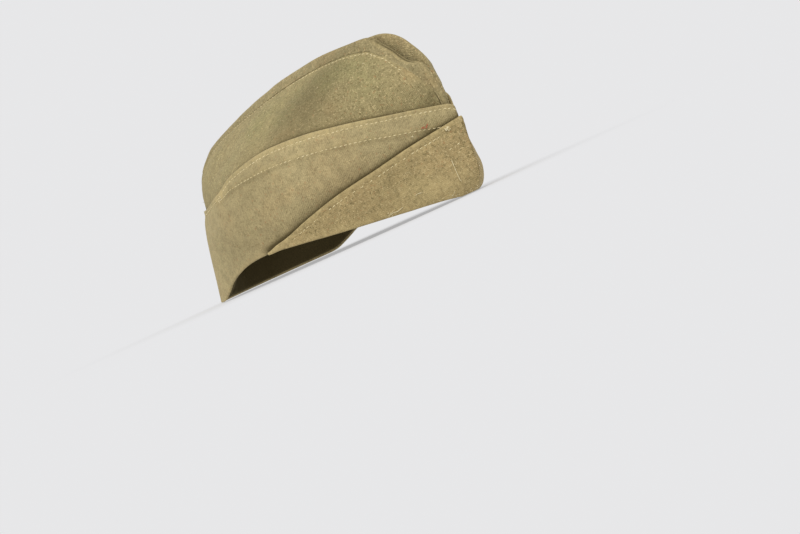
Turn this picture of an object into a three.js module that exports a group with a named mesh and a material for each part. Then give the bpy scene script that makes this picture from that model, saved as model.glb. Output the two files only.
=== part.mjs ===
// A wool garrison cap, opened as a head opens it and standing on its rim.
// Millimetres, +Z up. The front crease points to -Y, the wearer's right side is -X.
import * as THREE from 'three';

// Driving sizes.
const CAP_LENGTH = 236;
const CAP_WIDTH = 156;
const CAP_HEIGHT = 118;
const CURTAIN_HEIGHT = 62;
const FLAP_HEIGHT = 45;
const RIM_ARCH = 16;
const GUSSET_BAND = 8;
const GUSSET_TUCK = 9;
const GUSSET_REAR_DROP = 30;
const CREST_HALF_SPACING = 3.6;
const CREST_RISE = 7;
const VALLEY_DEPTH = 12;
const VALLEY_HALF_WIDTH = 0.6;
const CROWN_CLOTH = 1.8;
const CURTAIN_CLOTH = 1.8;
const FLAP_CLOTH = 1.8;
const LAYER_GAP = 0.4;
const SEAM_GAP = 0.3;
const CURTAIN_STAND_OFF = 2.2;
const LEFT_STAND_OFF = 0.9;
const HIDDEN_HEM_LIFT = 1.2;
const CROWN_HEM_LIFT = 2.4;
const DENT_DEPTH = 3;
const FOLD_DEPTH = 3.4;
const FOLD_ABOVE_FLAP = 2.5;
const FOLD_REACH = 4.5;
const INNER_SEAM_DEPTH = 1;
const SEAM_END_DROP = 0.45;
const FLAP_END_HEIGHT = 1.6;
const TIP_DROP = 3.6;
const LEFT_DROP = 4;

// How far a pressed crease moves out when its two sides move out by one.
const CREASE_MITRE = 1.5;

// How close a level section may come to the crest, and how far an outline may be carried on
// past its lowest point, as a share of its last step.
const CREST_MARGIN = 0.01;
const CARRY_ON = 4;

// The share of the side over which the curtain's front tip is rounded, the left curtain's top
// lies lower than the right one's, the hem comes down past the flap's end, and the curtain
// leaves its stand-off.
const TIP_REACH = 0.06;
const LEFT_DROP_REACH = 0.24;
const HEM_EASE = 0.04;
const STAND_OFF_REACH = 0.22;

// The share of the side next to each crease over which the dents fade out.
const DENT_FADE = 0.25;

// Heights between which the curtain leaves the crown at the front, as shares of FLAP_HEIGHT.
const STAND_OFF_LOW = 0.3;
const STAND_OFF_HIGH = 1.1;

// The gusset's section: its crests, shoulders and valley lips, as shares across and down its band.
const CREST_LIMIT = 0.55;
const VALLEY_LIMIT = 0.75;
const SHOULDER_ACROSS = 0.5;
const SHOULDER_DOWN = 0.36;
const LIP_ACROSS = 0.25;
const LIP_DOWN = 0.2;
const CREST_FOLLOW = 0.8;

// The gusset's inner face: how far its shoulders come in, and how thick its shoulders and the
// foot of its valley are, as shares of the cloth.
const SHOULDER_IN = 0.5;
const SHOULDER_IN_LIMIT = 0.3;
const SHOULDER_CLOTH = 0.7;
const FOOT_CLOTH = 0.6;

// Mesh steps.
const RIM_STEPS = 44;
const END_STEPS = 2;
const CREST_ROWS = 4;
const FLAP_ROWS = 5;
const LEAST_ROW = 1;
const LOWEST_SHARE = 0.3;
const SPINE_STEPS_PER_POINT = 12;

// Rows of the crown and the curtain by the flap's edge, as heights above that edge.
const EDGE_ROWS = [-6, -1.5, 2.5, 6.5, 12];

// Side outline of the crown, from the front rim over the crest to the rear rim:
// y as a share of half CAP_LENGTH, z as a share of CAP_HEIGHT.
const OUTLINE = [
  { y: -0.815, z: 0.0 },
  { y: -0.885, z: 0.06 },
  { y: -0.92, z: 0.12 },
  { y: -0.927, z: 0.18 },
  { y: -0.926, z: 0.25 },
  { y: -0.93, z: 0.33 },
  { y: -0.94, z: 0.4 },
  { y: -0.945, z: 0.48 },
  { y: -0.952, z: 0.57 },
  { y: -0.948, z: 0.655 },
  { y: -0.93, z: 0.738 },
  { y: -0.89, z: 0.813 },
  { y: -0.822, z: 0.902 },
  { y: -0.725, z: 0.959 },
  { y: -0.6, z: 0.986 },
  { y: -0.44, z: 1.0 },
  { y: -0.22, z: 0.998 },
  { y: 0.02, z: 0.978 },
  { y: 0.22, z: 0.948 },
  { y: 0.4, z: 0.92 },
  { y: 0.58, z: 0.882 },
  { y: 0.76, z: 0.838 },
  { y: 0.88, z: 0.782 },
  { y: 0.975, z: 0.7 },
  { y: 1.012, z: 0.61 },
  { y: 1.015, z: 0.51 },
  { y: 1.015, z: 0.4 },
  { y: 1.01, z: 0.3 },
  { y: 1.005, z: 0.2 },
  { y: 1.0, z: 0.1 },
  { y: 1.0, z: 0.0 },
];

// Level sections: height as a share of CAP_HEIGHT, half width as a share of half CAP_WIDTH.
// front and rear run from 0.5 (a round end) to 1 and more (a pressed crease).
const SECTIONS = [
  { at: 0.0, width: 0.95, front: 0.85, rear: 0.52, fullness: 2.1 },
  { at: 0.1, width: 0.96, front: 0.9, rear: 0.6, fullness: 2.1 },
  { at: 0.2, width: 0.975, front: 0.96, rear: 0.72, fullness: 2.05 },
  { at: 0.32, width: 0.985, front: 0.98, rear: 0.9, fullness: 2.0 },
  { at: 0.45, width: 0.965, front: 0.93, rear: 1.05, fullness: 1.95 },
  { at: 0.55, width: 0.915, front: 0.83, rear: 1.08, fullness: 1.9 },
  { at: 0.66, width: 0.8, front: 0.79, rear: 1.1, fullness: 1.9 },
  { at: 0.78, width: 0.585, front: 0.84, rear: 1.08, fullness: 1.9 },
  { at: 0.86, width: 0.385, front: 0.95, rear: 1.05, fullness: 2.0 },
  { at: 0.93, width: 0.19, front: 1.0, rear: 1.0, fullness: 2.2 },
  { at: 1.0, width: 0.05, front: 1.0, rear: 1.0, fullness: 2.4 },
];

// Edges along one side, from the front crease (0) to the rear crease (1).
// rise is a share of RIM_ARCH.
const RIM_EDGE = [
  { at: 0.0, rise: 0.0 },
  { at: 0.075, rise: 0.0 },
  { at: 0.105, rise: 0.06 },
  { at: 0.16, rise: 0.18 },
  { at: 0.245, rise: 0.37 },
  { at: 0.335, rise: 0.6 },
  { at: 0.43, rise: 0.87 },
  { at: 0.5, rise: 1.02 },
  { at: 0.545, rise: 1.01 },
  { at: 0.59, rise: 0.89 },
  { at: 0.65, rise: 0.58 },
  { at: 0.69, rise: 0.22 },
  { at: 0.715, rise: 0.04 },
  { at: 0.75, rise: 0.0 },
  { at: 1.0, rise: 0.0 },
];

// rise is a share of CURTAIN_HEIGHT.
const CURTAIN_EDGE = [
  { at: 0.0, rise: 0.845 },
  { at: 0.1, rise: 0.91 },
  { at: 0.2, rise: 1.008 },
  { at: 0.3, rise: 1.12 },
  { at: 0.375, rise: 1.185 },
  { at: 0.44, rise: 1.205 },
  { at: 0.5, rise: 1.175 },
  { at: 0.54, rise: 1.125 },
  { at: 0.58, rise: 1.035 },
  { at: 0.67, rise: 0.96 },
  { at: 0.85, rise: 0.985 },
  { at: 1.0, rise: 1.0 },
];

// rise is a share of FLAP_HEIGHT above the resting plane, and fold is the share of FOLD_DEPTH
// that the cloth above the flap's edge is drawn in. The flap ends at FLAP_END.
const FLAP_END = 0.5;
const FLAP_EDGE = [
  { at: 0.0, rise: 1.0, fold: 0.0 },
  { at: 0.1, rise: 0.96, fold: 0.15 },
  { at: 0.2, rise: 0.88, fold: 0.6 },
  { at: 0.265, rise: 0.79, fold: 0.9 },
  { at: 0.335, rise: 0.695, fold: 1.0 },
  { at: 0.4, rise: 0.565, fold: 0.8 },
  { at: 0.45, rise: 0.45, fold: 0.35 },
  { at: 0.5, rise: 0.395, fold: 0.0 },
];

// The gusset from its front end to its rear end: how far its right and left crests stand above
// the crown's outline as shares of CREST_RISE, its right and left bands as shares of GUSSET_BAND,
// its valley as a share of VALLEY_DEPTH, and how far the crests stand up from the crown's own
// round (1 stands free).
const GUSSET = [
  { at: 0.0, right: 0.0, left: 0.0, rightBand: 0.25, leftBand: 0.25, valley: 0.1, lift: 0.0 },
  { at: 0.07, right: 0.0, left: 0.0, rightBand: 0.25, leftBand: 0.36, valley: 0.1, lift: 0.0 },
  { at: 0.12, right: 0.0, left: 0.0, rightBand: 0.65, leftBand: 0.65, valley: 0.1, lift: 0.25 },
  { at: 0.15, right: -0.22, left: 0.0, rightBand: 0.95, leftBand: 0.8, valley: 0.28, lift: 0.6 },
  { at: 0.18, right: -0.98, left: -0.03, rightBand: 1.2, leftBand: 0.92, valley: 0.95, lift: 0.85 },
  { at: 0.215, right: -1.16, left: -0.08, rightBand: 1.34, leftBand: 1.0, valley: 1.0, lift: 1.0 },
  { at: 0.265, right: -0.92, left: -0.06, rightBand: 1.38, leftBand: 1.0, valley: 1.0, lift: 1.0 },
  { at: 0.31, right: -0.2, left: -0.12, rightBand: 1.1, leftBand: 1.0, valley: 1.0, lift: 1.0 },
  { at: 0.38, right: -0.15, left: -0.3, rightBand: 0.9, leftBand: 1.0, valley: 1.0, lift: 1.0 },
  { at: 0.5, right: 0.08, left: -0.15, rightBand: 0.8, leftBand: 1.0, valley: 1.0, lift: 1.0 },
  { at: 0.66, right: 0.25, left: -0.05, rightBand: 0.7, leftBand: 1.0, valley: 0.85, lift: 1.0 },
  { at: 0.85, right: 0.05, left: 0.0, rightBand: 0.65, leftBand: 0.85, valley: 0.5, lift: 0.8 },
  { at: 1.0, right: 0.0, left: 0.0, rightBand: 0.65, leftBand: 0.65, valley: 0.2, lift: 0.0 },
];

// Soft dents: side is -1 right, 1 left; at and high are shares of the side and of CAP_HEIGHT.
const DENTS = [
  { side: -1, at: 0.3, high: 0.72, reach: 0.07, tall: 0.07, depth: 0.9 },
  { side: -1, at: 0.56, high: 0.76, reach: 0.09, tall: 0.08, depth: 1.0 },
  { side: -1, at: 0.72, high: 0.34, reach: 0.05, tall: 0.16, depth: 0.6 },
  { side: -1, at: 0.22, high: 0.3, reach: 0.06, tall: 0.12, depth: -0.5 },
  { side: -1, at: 0.47, high: 0.8, reach: 0.03, tall: 0.09, depth: 0.7 },
  { side: -1, at: 0.62, high: 0.66, reach: 0.03, tall: 0.1, depth: 0.5 },
  { side: -1, at: 0.14, high: 0.6, reach: 0.04, tall: 0.035, depth: 0.7 },
  { side: 1, at: 0.36, high: 0.74, reach: 0.08, tall: 0.07, depth: 0.9 },
  { side: 1, at: 0.62, high: 0.7, reach: 0.08, tall: 0.09, depth: 0.8 },
  { side: 1, at: 0.48, high: 0.3, reach: 0.07, tall: 0.14, depth: 0.5 },
];

const lerp = THREE.MathUtils.lerp;
const shares = (count) => Array.from({ length: count + 1 }, (_, i) => i / count);

// Smooth value of one column of a table at a share.
function tableValue(rows, column, share) {
  const last = rows.length - 1;
  const x = Math.min(Math.max(share, rows[0].at), rows[last].at);
  let i = 0;
  while (i < last - 1 && x > rows[i + 1].at) i += 1;
  const slope = (j) => {
    const a = rows[Math.max(j - 1, 0)];
    const b = rows[Math.min(j + 1, last)];
    return (b[column] - a[column]) / (b.at - a.at);
  };
  const h = rows[i + 1].at - rows[i].at;
  const u = (x - rows[i].at) / h;
  const p = rows[i][column];
  const q = rows[i + 1][column];
  const ease = u * u * (3 - 2 * u);
  const leave = u * (1 - u) * (1 - u);
  const arrive = u * u * (u - 1);
  return p + (q - p) * ease + h * (leave * slope(i) + arrive * slope(i + 1));
}

// The side outline as a dense line of points in the plane x = 0.
const outlineCurve = new THREE.CatmullRomCurve3(
  OUTLINE.map((row) => new THREE.Vector3(0, (row.y * CAP_LENGTH) / 2, row.z * CAP_HEIGHT)),
  false,
  'catmullrom',
  0.5,
);
const outlineSteps = (OUTLINE.length - 1) * SPINE_STEPS_PER_POINT;
const outline = outlineCurve.getPoints(outlineSteps);

function outlineNormal(i) {
  const a = outline[Math.max(i - 1, 0)];
  const b = outline[Math.min(i + 1, outline.length - 1)];
  return new THREE.Vector3(0, a.z - b.z, b.y - a.y).normalize();
}

// y where a rising line of points passes a height.
function crossing(points, z) {
  let i = 0;
  while (i < points.length - 2 && points[i + 1].z < z) i += 1;
  const a = points[i];
  const b = points[i + 1];
  const u = THREE.MathUtils.clamp((z - a.z) / (b.z - a.z), -CARRY_ON, 1);
  return a.y + u * (b.y - a.y);
}

const rimHeight = (along) => Math.max(tableValue(RIM_EDGE, 'rise', along), 0) * RIM_ARCH;
const flapTop = (along) => {
  const drawn = tableValue(FLAP_EDGE, 'rise', along) * FLAP_HEIGHT;
  return Math.max(drawn, rimHeight(along) + FLAP_END_HEIGHT);
};

const bell = (x) => Math.exp((-x * x) / 2);

// How far a side is pushed in at a place.
function dent(side, along, z) {
  let sum = 0;
  for (const row of DENTS) {
    if (row.side !== side) continue;
    const beside = bell((along - row.at) / row.reach);
    const above = bell((z / CAP_HEIGHT - row.high) / row.tall);
    sum += row.depth * DENT_DEPTH * beside * above;
  }
  return sum * Math.min(1, along / DENT_FADE, (1 - along) / DENT_FADE);
}

// The fold that the cloth under the flap makes just above the flap's edge.
function fold(along, z) {
  if (along >= FLAP_END) return 0;
  const above = z - flapTop(along) - FOLD_ABOVE_FLAP;
  return FOLD_DEPTH * tableValue(FLAP_EDGE, 'fold', along) * bell(above / FOLD_REACH);
}

// One nested surface of the cap, moved out by an offset (inwards when negative).
function makeSurface(offset, folded) {
  const creaseOffset = offset * CREASE_MITRE;
  const moved = outline.map((p, i) => p.clone().addScaledVector(outlineNormal(i), creaseOffset));
  let peak = 0;
  moved.forEach((p, i) => {
    if (p.z > moved[peak].z) peak = i;
  });
  const front = moved.slice(0, peak + 1);
  const rear = moved.slice(peak).reverse();
  const top = moved[peak].z;

  function section(z) {
    const level = Math.min(z, top - CREST_MARGIN);
    const share = Math.max(level, 0) / top;
    const a = crossing(front, level);
    const b = crossing(rear, level);
    return {
      middle: (a + b) / 2,
      half: (b - a) / 2,
      width: (tableValue(SECTIONS, 'width', share) * CAP_WIDTH) / 2 + offset,
      front: tableValue(SECTIONS, 'front', share),
      rear: tableValue(SECTIONS, 'rear', share),
      fullness: tableValue(SECTIONS, 'fullness', share),
    };
  }

  // A point on one side: along runs from the front crease (0) to the rear crease (1).
  function point(side, along, z) {
    const s = section(z);
    const c = Math.cos(Math.PI * along);
    const towardRear = (1 - c) / 2;
    const ease = towardRear * towardRear * (3 - 2 * towardRear);
    const sharpness = s.front + (s.rear - s.front) * ease;
    const bulge = Math.pow(Math.max(1 - Math.pow(Math.abs(c), s.fullness), 0), sharpness);
    const pushed = dent(side, along, z) + (folded ? fold(along, z) : 0);
    const x = Math.max((s.width - pushed) * bulge, 0);
    return new THREE.Vector3(side * x, s.middle - s.half * c, z);
  }

  // The share along the side of a place in the side view.
  function alongOf(y, z) {
    const s = section(z);
    return Math.acos(THREE.MathUtils.clamp((s.middle - y) / s.half, -1, 1)) / Math.PI;
  }

  return { point, alongOf, creaseInset: -creaseOffset };
}

const crownOutside = makeSurface(0, true);
const crownInside = makeSurface(-CROWN_CLOTH, true);
const curtainInside = makeSurface(LAYER_GAP, true);
const curtainOutside = makeSurface(LAYER_GAP + CURTAIN_CLOTH, true);
const flapInside = makeSurface(2 * LAYER_GAP + CURTAIN_CLOTH, false);
const flapOutside = makeSurface(2 * LAYER_GAP + CURTAIN_CLOTH + FLAP_CLOTH, false);

// The curtain's hem rises a little where the flap hides it.
function curtainBottom(along) {
  const hidden = 1 - THREE.MathUtils.smoothstep(along, FLAP_END - HEM_EASE, FLAP_END);
  return rimHeight(along) + HIDDEN_HEM_LIFT * hidden;
}

function curtainTop(side, along) {
  const beforeTip = 1 - Math.min(along / TIP_REACH, 1);
  const rounding = TIP_DROP * (1 - Math.sqrt(1 - beforeTip * beforeTip));
  const forward = 1 - THREE.MathUtils.smoothstep(along, 0, LEFT_DROP_REACH);
  const lower = side < 0 ? 0 : LEFT_DROP * forward;
  return tableValue(CURTAIN_EDGE, 'rise', along) * CURTAIN_HEIGHT - rounding - lower;
}

// Row heights of a column from its hem to the curtain's top. The crown and the curtain have the
// same rows, so that their flat facets lie alike.
function columnHeights(side, along, bottom, top) {
  const lowest = rimHeight(along) + CROWN_HEM_LIFT;
  const edge = flapTop(along);
  const first = lerp(lowest, edge + EDGE_ROWS[0], LOWEST_SHARE);
  const highest = curtainTop(side, along);
  const last = lerp(edge + EDGE_ROWS[EDGE_ROWS.length - 1], highest, 0.5);
  const marks = [first, ...EDGE_ROWS.map((row) => edge + row), last, highest];
  const rows = marks.map((z, i) => {
    const aboveLowest = Math.max(z, lowest + LEAST_ROW * (i + 1));
    return Math.min(aboveLowest, top - LEAST_ROW * (marks.length - 1 - i));
  });
  return [bottom, ...rows];
}

// Joins an outer and an inner grid of points into one closed shell.
function shellGeometry(outer, inner) {
  const rows = outer.length;
  const columns = outer[0].length;
  const positions = [];
  for (const grid of [outer, inner]) {
    for (const row of grid) {
      for (const p of row) positions.push(p.x, p.y, p.z);
    }
  }
  const index = [];
  const id = (layer, r, c) => layer * rows * columns + r * columns + c;
  const quad = (a, b, c, d) => index.push(a, b, c, a, c, d);
  for (let r = 0; r < rows - 1; r += 1) {
    for (let c = 0; c < columns - 1; c += 1) {
      quad(id(0, r, c), id(0, r, c + 1), id(0, r + 1, c + 1), id(0, r + 1, c));
      quad(id(1, r, c), id(1, r + 1, c), id(1, r + 1, c + 1), id(1, r, c + 1));
    }
  }
  for (let c = 0; c < columns - 1; c += 1) {
    quad(id(0, 0, c + 1), id(0, 0, c), id(1, 0, c), id(1, 0, c + 1));
    quad(id(0, rows - 1, c), id(0, rows - 1, c + 1), id(1, rows - 1, c + 1), id(1, rows - 1, c));
  }
  for (let r = 0; r < rows - 1; r += 1) {
    quad(id(0, r, 0), id(0, r + 1, 0), id(1, r + 1, 0), id(1, r, 0));
    const end = columns - 1;
    quad(id(0, r + 1, end), id(0, r, end), id(1, r, end), id(1, r + 1, end));
  }
  let volume = 0;
  const corner = (i) => new THREE.Vector3().fromArray(positions, 3 * i);
  for (let i = 0; i < index.length; i += 3) {
    volume += corner(index[i]).dot(corner(index[i + 1]).cross(corner(index[i + 2])));
  }
  if (volume < 0) index.reverse();
  const geometry = new THREE.BufferGeometry();
  geometry.setAttribute('position', new THREE.Float32BufferAttribute(positions, 3));
  geometry.setIndex(index);
  geometry.computeVertexNormals();
  return geometry;
}

// Columns of points as rows of points.
const turned = (columns) => columns[0].map((_, r) => columns.map((column) => column[r]));

// Keeps a side's points off the plane where the two sides meet.
function clearOfMiddle(side, p) {
  const limit = SEAM_GAP / 2;
  p.x = side * Math.max(side * p.x, limit);
  return p;
}

// The stretch of the outline that the gusset follows, as positions in the outline.
const gussetFrontZ = CURTAIN_EDGE[0].rise * CURTAIN_HEIGHT - GUSSET_TUCK;
const gussetRearZ = CAP_HEIGHT - GUSSET_REAR_DROP;
const peakIndex = outline.reduce((best, p, i) => (p.z > outline[best].z ? i : best), 0);
const gussetStart = outline.findIndex((p) => p.z >= gussetFrontZ);
const gussetEnd = outline.findIndex((p, i) => i > peakIndex && p.z <= gussetRearZ);

const lengths = outline.map(() => 0);
for (let i = 1; i < outline.length; i += 1) {
  lengths[i] = lengths[i - 1] + outline[i].distanceTo(outline[i - 1]);
}

function spineAt(share) {
  const wanted = lerp(lengths[gussetStart], lengths[gussetEnd], share);
  let i = gussetStart;
  while (i < gussetEnd - 1 && lengths[i + 1] < wanted) i += 1;
  const u = THREE.MathUtils.clamp((wanted - lengths[i]) / (lengths[i + 1] - lengths[i]), 0, 1);
  const normal = outlineNormal(i).lerp(outlineNormal(i + 1), u).normalize();
  return { place: outline[i].clone().lerp(outline[i + 1], u), normal };
}

function bandAt(side, share) {
  return GUSSET_BAND * tableValue(GUSSET, side < 0 ? 'rightBand' : 'leftBand', share);
}

// Where the gusset's seam lies below the spine. An inner surface starts below the crease's thickness.
function seamDepth(surface, side, share) {
  return Math.max(bandAt(side, share), surface.creaseInset + INNER_SEAM_DEPTH);
}

// The place along a side of the chosen surface, and its height, at a depth below the spine.
function besideSpine(surface, share, depth) {
  const { place, normal } = spineAt(share);
  const p = place.addScaledVector(normal, -depth);
  return { along: surface.alongOf(p.y, p.z), z: p.z };
}

// A crown side runs from the rim to the gusset's seam, and to the creases past the seam's ends.
function crownSideGeometry(side) {
  const stations = shares(RIM_STEPS - 2 * END_STEPS);
  const endParts = shares(END_STEPS).slice(0, END_STEPS);
  const grids = [crownOutside, crownInside].map((surface) => {
    const seam = stations.map((share) =>
      besideSpine(surface, share, seamDepth(surface, side, share)),
    );
    const belowEnd = (share, part) => {
      const depth = lerp(surface.creaseInset, seamDepth(surface, side, share), part);
      const place = besideSpine(surface, share, depth);
      return { along: part > 0 ? place.along : share, z: place.z - SEAM_END_DROP };
    };
    const frontEnd = endParts.map((part) => belowEnd(0, part));
    const rearEnd = endParts.map((part) => belowEnd(1, part)).reverse();
    const tops = [...frontEnd, ...seam, ...rearEnd];
    const columns = tops.map((top, i) => {
      const rimAlong = i / (tops.length - 1);
      const bottom = rimHeight(rimAlong) + CROWN_HEM_LIFT;
      const underCurtain = columnHeights(side, rimAlong, bottom, top.z - LEAST_ROW);
      const curtainEdge = underCurtain[underCurtain.length - 1];
      const low = underCurtain.map((z) => surface.point(side, rimAlong, z));
      const high = shares(CREST_ROWS).slice(1).map((up) =>
        surface.point(side, lerp(rimAlong, top.along, up), lerp(curtainEdge, top.z, up)),
      );
      return [...low, ...high].map((p) => clearOfMiddle(side, p));
    });
    return turned(columns);
  });
  return shellGeometry(grids[0], grids[1]);
}

// The gusset's section: seam, crest, valley, crest, seam.
function gussetGeometry() {
  const sectionOf = (share, surface, cloth) => {
    const { place, normal } = spineAt(share);
    const valley = VALLEY_DEPTH * tableValue(GUSSET, 'valley', share);
    const half = (side, column) => {
      const low = besideSpine(surface, share, seamDepth(surface, side, share) - SEAM_GAP);
      const seam = surface.point(side, low.along, low.z);
      const band = bandAt(side, share);
      const rise = tableValue(GUSSET, column, share) * CREST_RISE;
      const followed = rise * CREST_FOLLOW;
      const seamHalf = Math.abs(seam.x);
      const crest = Math.min(CREST_HALF_SPACING, CREST_LIMIT * seamHalf);
      const wall = Math.min(VALLEY_HALF_WIDTH + cloth, VALLEY_LIMIT * crest);
      const shoulder = lerp(crest, seamHalf, SHOULDER_ACROSS);
      const shoulderIn = Math.min(SHOULDER_IN * cloth, SHOULDER_IN_LIMIT * (seamHalf - crest));
      const sunk = band * (1 - tableValue(GUSSET, 'lift', share));
      const onRound = (x) => (sunk * x) / seamHalf;
      const underCrest = Math.min(band * SHOULDER_DOWN - followed, lerp(-rise, band, SHOULDER_ACROSS));
      const shoulderDepth = Math.max(underCrest, onRound(shoulder));
      const lipDepth = Math.max(valley * LIP_DOWN - followed, onRound(wall));
      const at = (x, depth) =>
        new THREE.Vector3(side * x, 0, 0).add(place).addScaledVector(normal, -depth);
      return [
        seam,
        at(shoulder - shoulderIn, shoulderDepth + SHOULDER_CLOTH * cloth),
        at(crest, onRound(crest) + cloth - rise),
        at(lerp(wall, crest, LIP_ACROSS), lipDepth + cloth),
        at(wall, valley - VALLEY_HALF_WIDTH + FOOT_CLOTH * cloth),
      ];
    };
    const bottom = place.clone().addScaledVector(normal, -(valley + cloth));
    return [...half(-1, 'right'), bottom, ...half(1, 'left').reverse()];
  };
  const stations = shares(RIM_STEPS - 2 * END_STEPS);
  const outer = stations.map((share) => sectionOf(share, crownOutside, 0));
  const inner = stations.map((share) => sectionOf(share, crownInside, CROWN_CLOTH));
  return shellGeometry(outer, inner);
}

// A curtain half stands a little away from the crown at the front.
function curtainGeometry(side) {
  const grids = [curtainOutside, curtainInside].map((surface) => {
    const columns = shares(RIM_STEPS).map((along) => {
      const heights = columnHeights(side, along, curtainBottom(along), curtainTop(side, along));
      return heights.map((z) => {
        const p = surface.point(side, along, z);
        p.y -= (side < 0 ? CURTAIN_STAND_OFF : LEFT_STAND_OFF) * standOff(along, z);
        return clearOfMiddle(side, p);
      });
    });
    return turned(columns);
  });
  return shellGeometry(grids[0], grids[1]);
}

// How much of the stand-off a place on the curtain or the flap has.
function standOff(along, z) {
  const forward = 1 - THREE.MathUtils.smoothstep(along, 0, STAND_OFF_REACH);
  const high = THREE.MathUtils.smoothstep(z, FLAP_HEIGHT * STAND_OFF_LOW, FLAP_HEIGHT * STAND_OFF_HIGH);
  return forward * high;
}

// The front flap goes round both sides in one piece, over the curtains.
function flapGeometry() {
  const steps = RIM_STEPS / 2;
  const places = [];
  for (let i = -steps; i <= steps; i += 1) {
    places.push({ side: i < 0 ? -1 : 1, along: (Math.abs(i) / steps) * FLAP_END });
  }
  const grids = [flapOutside, flapInside].map((surface) =>
    shares(FLAP_ROWS).map((up) =>
      places.map(({ side, along }) => {
        const z = lerp(rimHeight(along), flapTop(along), up);
        const p = surface.point(side, along, z);
        p.y -= CURTAIN_STAND_OFF * standOff(along, z);
        return p;
      }),
    ),
  );
  return shellGeometry(grids[0], grids[1]);
}

// Olive drab wool, a little different from piece to piece.
function wool(colour) {
  return new THREE.MeshStandardMaterial({
    color: colour,
    roughness: 0.95,
    metalness: 0,
    side: THREE.DoubleSide,
  });
}

function piece(name, geometry, colour) {
  const mesh = new THREE.Mesh(geometry, wool(colour));
  mesh.name = name;
  return mesh;
}

const group = new THREE.Group();
group.add(piece('crown_side_right', crownSideGeometry(-1), 0xa29168));
group.add(piece('crown_side_left', crownSideGeometry(1), 0xa3966d));
group.add(piece('top_gusset', gussetGeometry(), 0x978965));
group.add(piece('curtain_right', curtainGeometry(-1), 0xa5956d));
group.add(piece('curtain_left', curtainGeometry(1), 0xa5956d));
group.add(piece('front_flap', flapGeometry(), 0x9f8e62));

// The origin is the middle of the resting footprint.
const box = new THREE.Box3().setFromObject(group);
const centre = box.getCenter(new THREE.Vector3());
for (const mesh of group.children) {
  mesh.position.set(-centre.x, -centre.y, -box.min.z);
}

export default group;
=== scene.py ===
import itertools
import math

import bmesh
import bpy
import numpy as np
from mathutils import Matrix, Vector


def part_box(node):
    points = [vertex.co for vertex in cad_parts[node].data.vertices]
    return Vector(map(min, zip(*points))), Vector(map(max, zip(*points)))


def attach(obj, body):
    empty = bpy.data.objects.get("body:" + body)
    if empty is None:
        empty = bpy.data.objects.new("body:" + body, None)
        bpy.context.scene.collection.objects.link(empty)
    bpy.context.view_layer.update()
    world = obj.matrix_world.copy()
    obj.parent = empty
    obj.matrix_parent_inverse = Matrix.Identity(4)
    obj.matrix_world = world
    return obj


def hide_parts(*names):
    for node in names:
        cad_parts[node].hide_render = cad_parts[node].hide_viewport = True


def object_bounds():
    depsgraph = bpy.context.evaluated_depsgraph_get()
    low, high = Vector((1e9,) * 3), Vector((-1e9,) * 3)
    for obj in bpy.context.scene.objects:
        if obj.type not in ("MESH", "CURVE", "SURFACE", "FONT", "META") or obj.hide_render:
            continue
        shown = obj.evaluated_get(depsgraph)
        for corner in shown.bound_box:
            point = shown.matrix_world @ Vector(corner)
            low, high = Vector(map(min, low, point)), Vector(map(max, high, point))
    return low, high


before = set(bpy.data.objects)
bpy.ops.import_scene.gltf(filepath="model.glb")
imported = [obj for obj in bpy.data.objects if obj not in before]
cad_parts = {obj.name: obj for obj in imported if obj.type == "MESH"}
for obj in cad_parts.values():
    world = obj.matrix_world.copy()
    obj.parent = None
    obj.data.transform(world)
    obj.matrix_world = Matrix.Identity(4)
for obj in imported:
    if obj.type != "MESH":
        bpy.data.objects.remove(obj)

cad_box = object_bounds()

MM = 0.001

# Sizes of the cap in millimetres, and shares of them, as in its CAD solids.
CAP_LENGTH = 236.0
CAP_WIDTH = 156.0
CAP_HEIGHT = 118.0
CURTAIN_HEIGHT = 62.0
FLAP_HEIGHT = 45.0
RIM_ARCH = 16.0
GUSSET_BAND = 8.0
GUSSET_TUCK = 9.0
GUSSET_REAR_DROP = 30.0
CREST_HALF_SPACING = 3.6
CREST_RISE = 7.0
VALLEY_DEPTH = 12.0
VALLEY_HALF_WIDTH = 0.6
CLOTH = 1.8
LAYER_GAP = 0.4
SEAM_GAP = 0.3
CURTAIN_STAND_OFF = 2.2
LEFT_STAND_OFF = 0.9
STAND_OFF_REACH = 0.22
STAND_OFF_FROM = 0.3
STAND_OFF_TO = 1.1
HIDDEN_HEM_LIFT = 1.2
HIDDEN_HEM_FADE = 0.04
CROWN_HEM_LIFT = 2.4
TIP_DROP = 3.6
TIP_REACH = 0.06
LEFT_DROP = 4.0
LEFT_DROP_REACH = 0.24
DENT_DEPTH = 3.0
DENT_FADE = 0.25
FOLD_DEPTH = 3.4
FOLD_ABOVE_FLAP = 2.5
FOLD_REACH = 4.5
INNER_SEAM_DEPTH = 1.0
SEAM_END_DROP = 0.45
FLAP_END = 0.5
FLAP_END_HEIGHT = 1.6
CREASE_MITRE = 1.5

# Side outline of the crown: y as a share of half the length, z as a share of the height.
OUTLINE = np.array([
    (-0.815, 0.0), (-0.885, 0.06), (-0.92, 0.12), (-0.927, 0.18), (-0.926, 0.25),
    (-0.93, 0.33), (-0.94, 0.4), (-0.945, 0.48), (-0.952, 0.57), (-0.948, 0.655),
    (-0.93, 0.738), (-0.89, 0.813), (-0.822, 0.902), (-0.725, 0.959), (-0.6, 0.986),
    (-0.44, 1.0), (-0.22, 0.998), (0.02, 0.978), (0.22, 0.948), (0.4, 0.92),
    (0.58, 0.882), (0.76, 0.838), (0.88, 0.782), (0.975, 0.7), (1.012, 0.61),
    (1.015, 0.51), (1.015, 0.4), (1.01, 0.3), (1.005, 0.2), (1.0, 0.1), (1.0, 0.0),
])
OUTLINE_STEPS = 12

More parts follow.
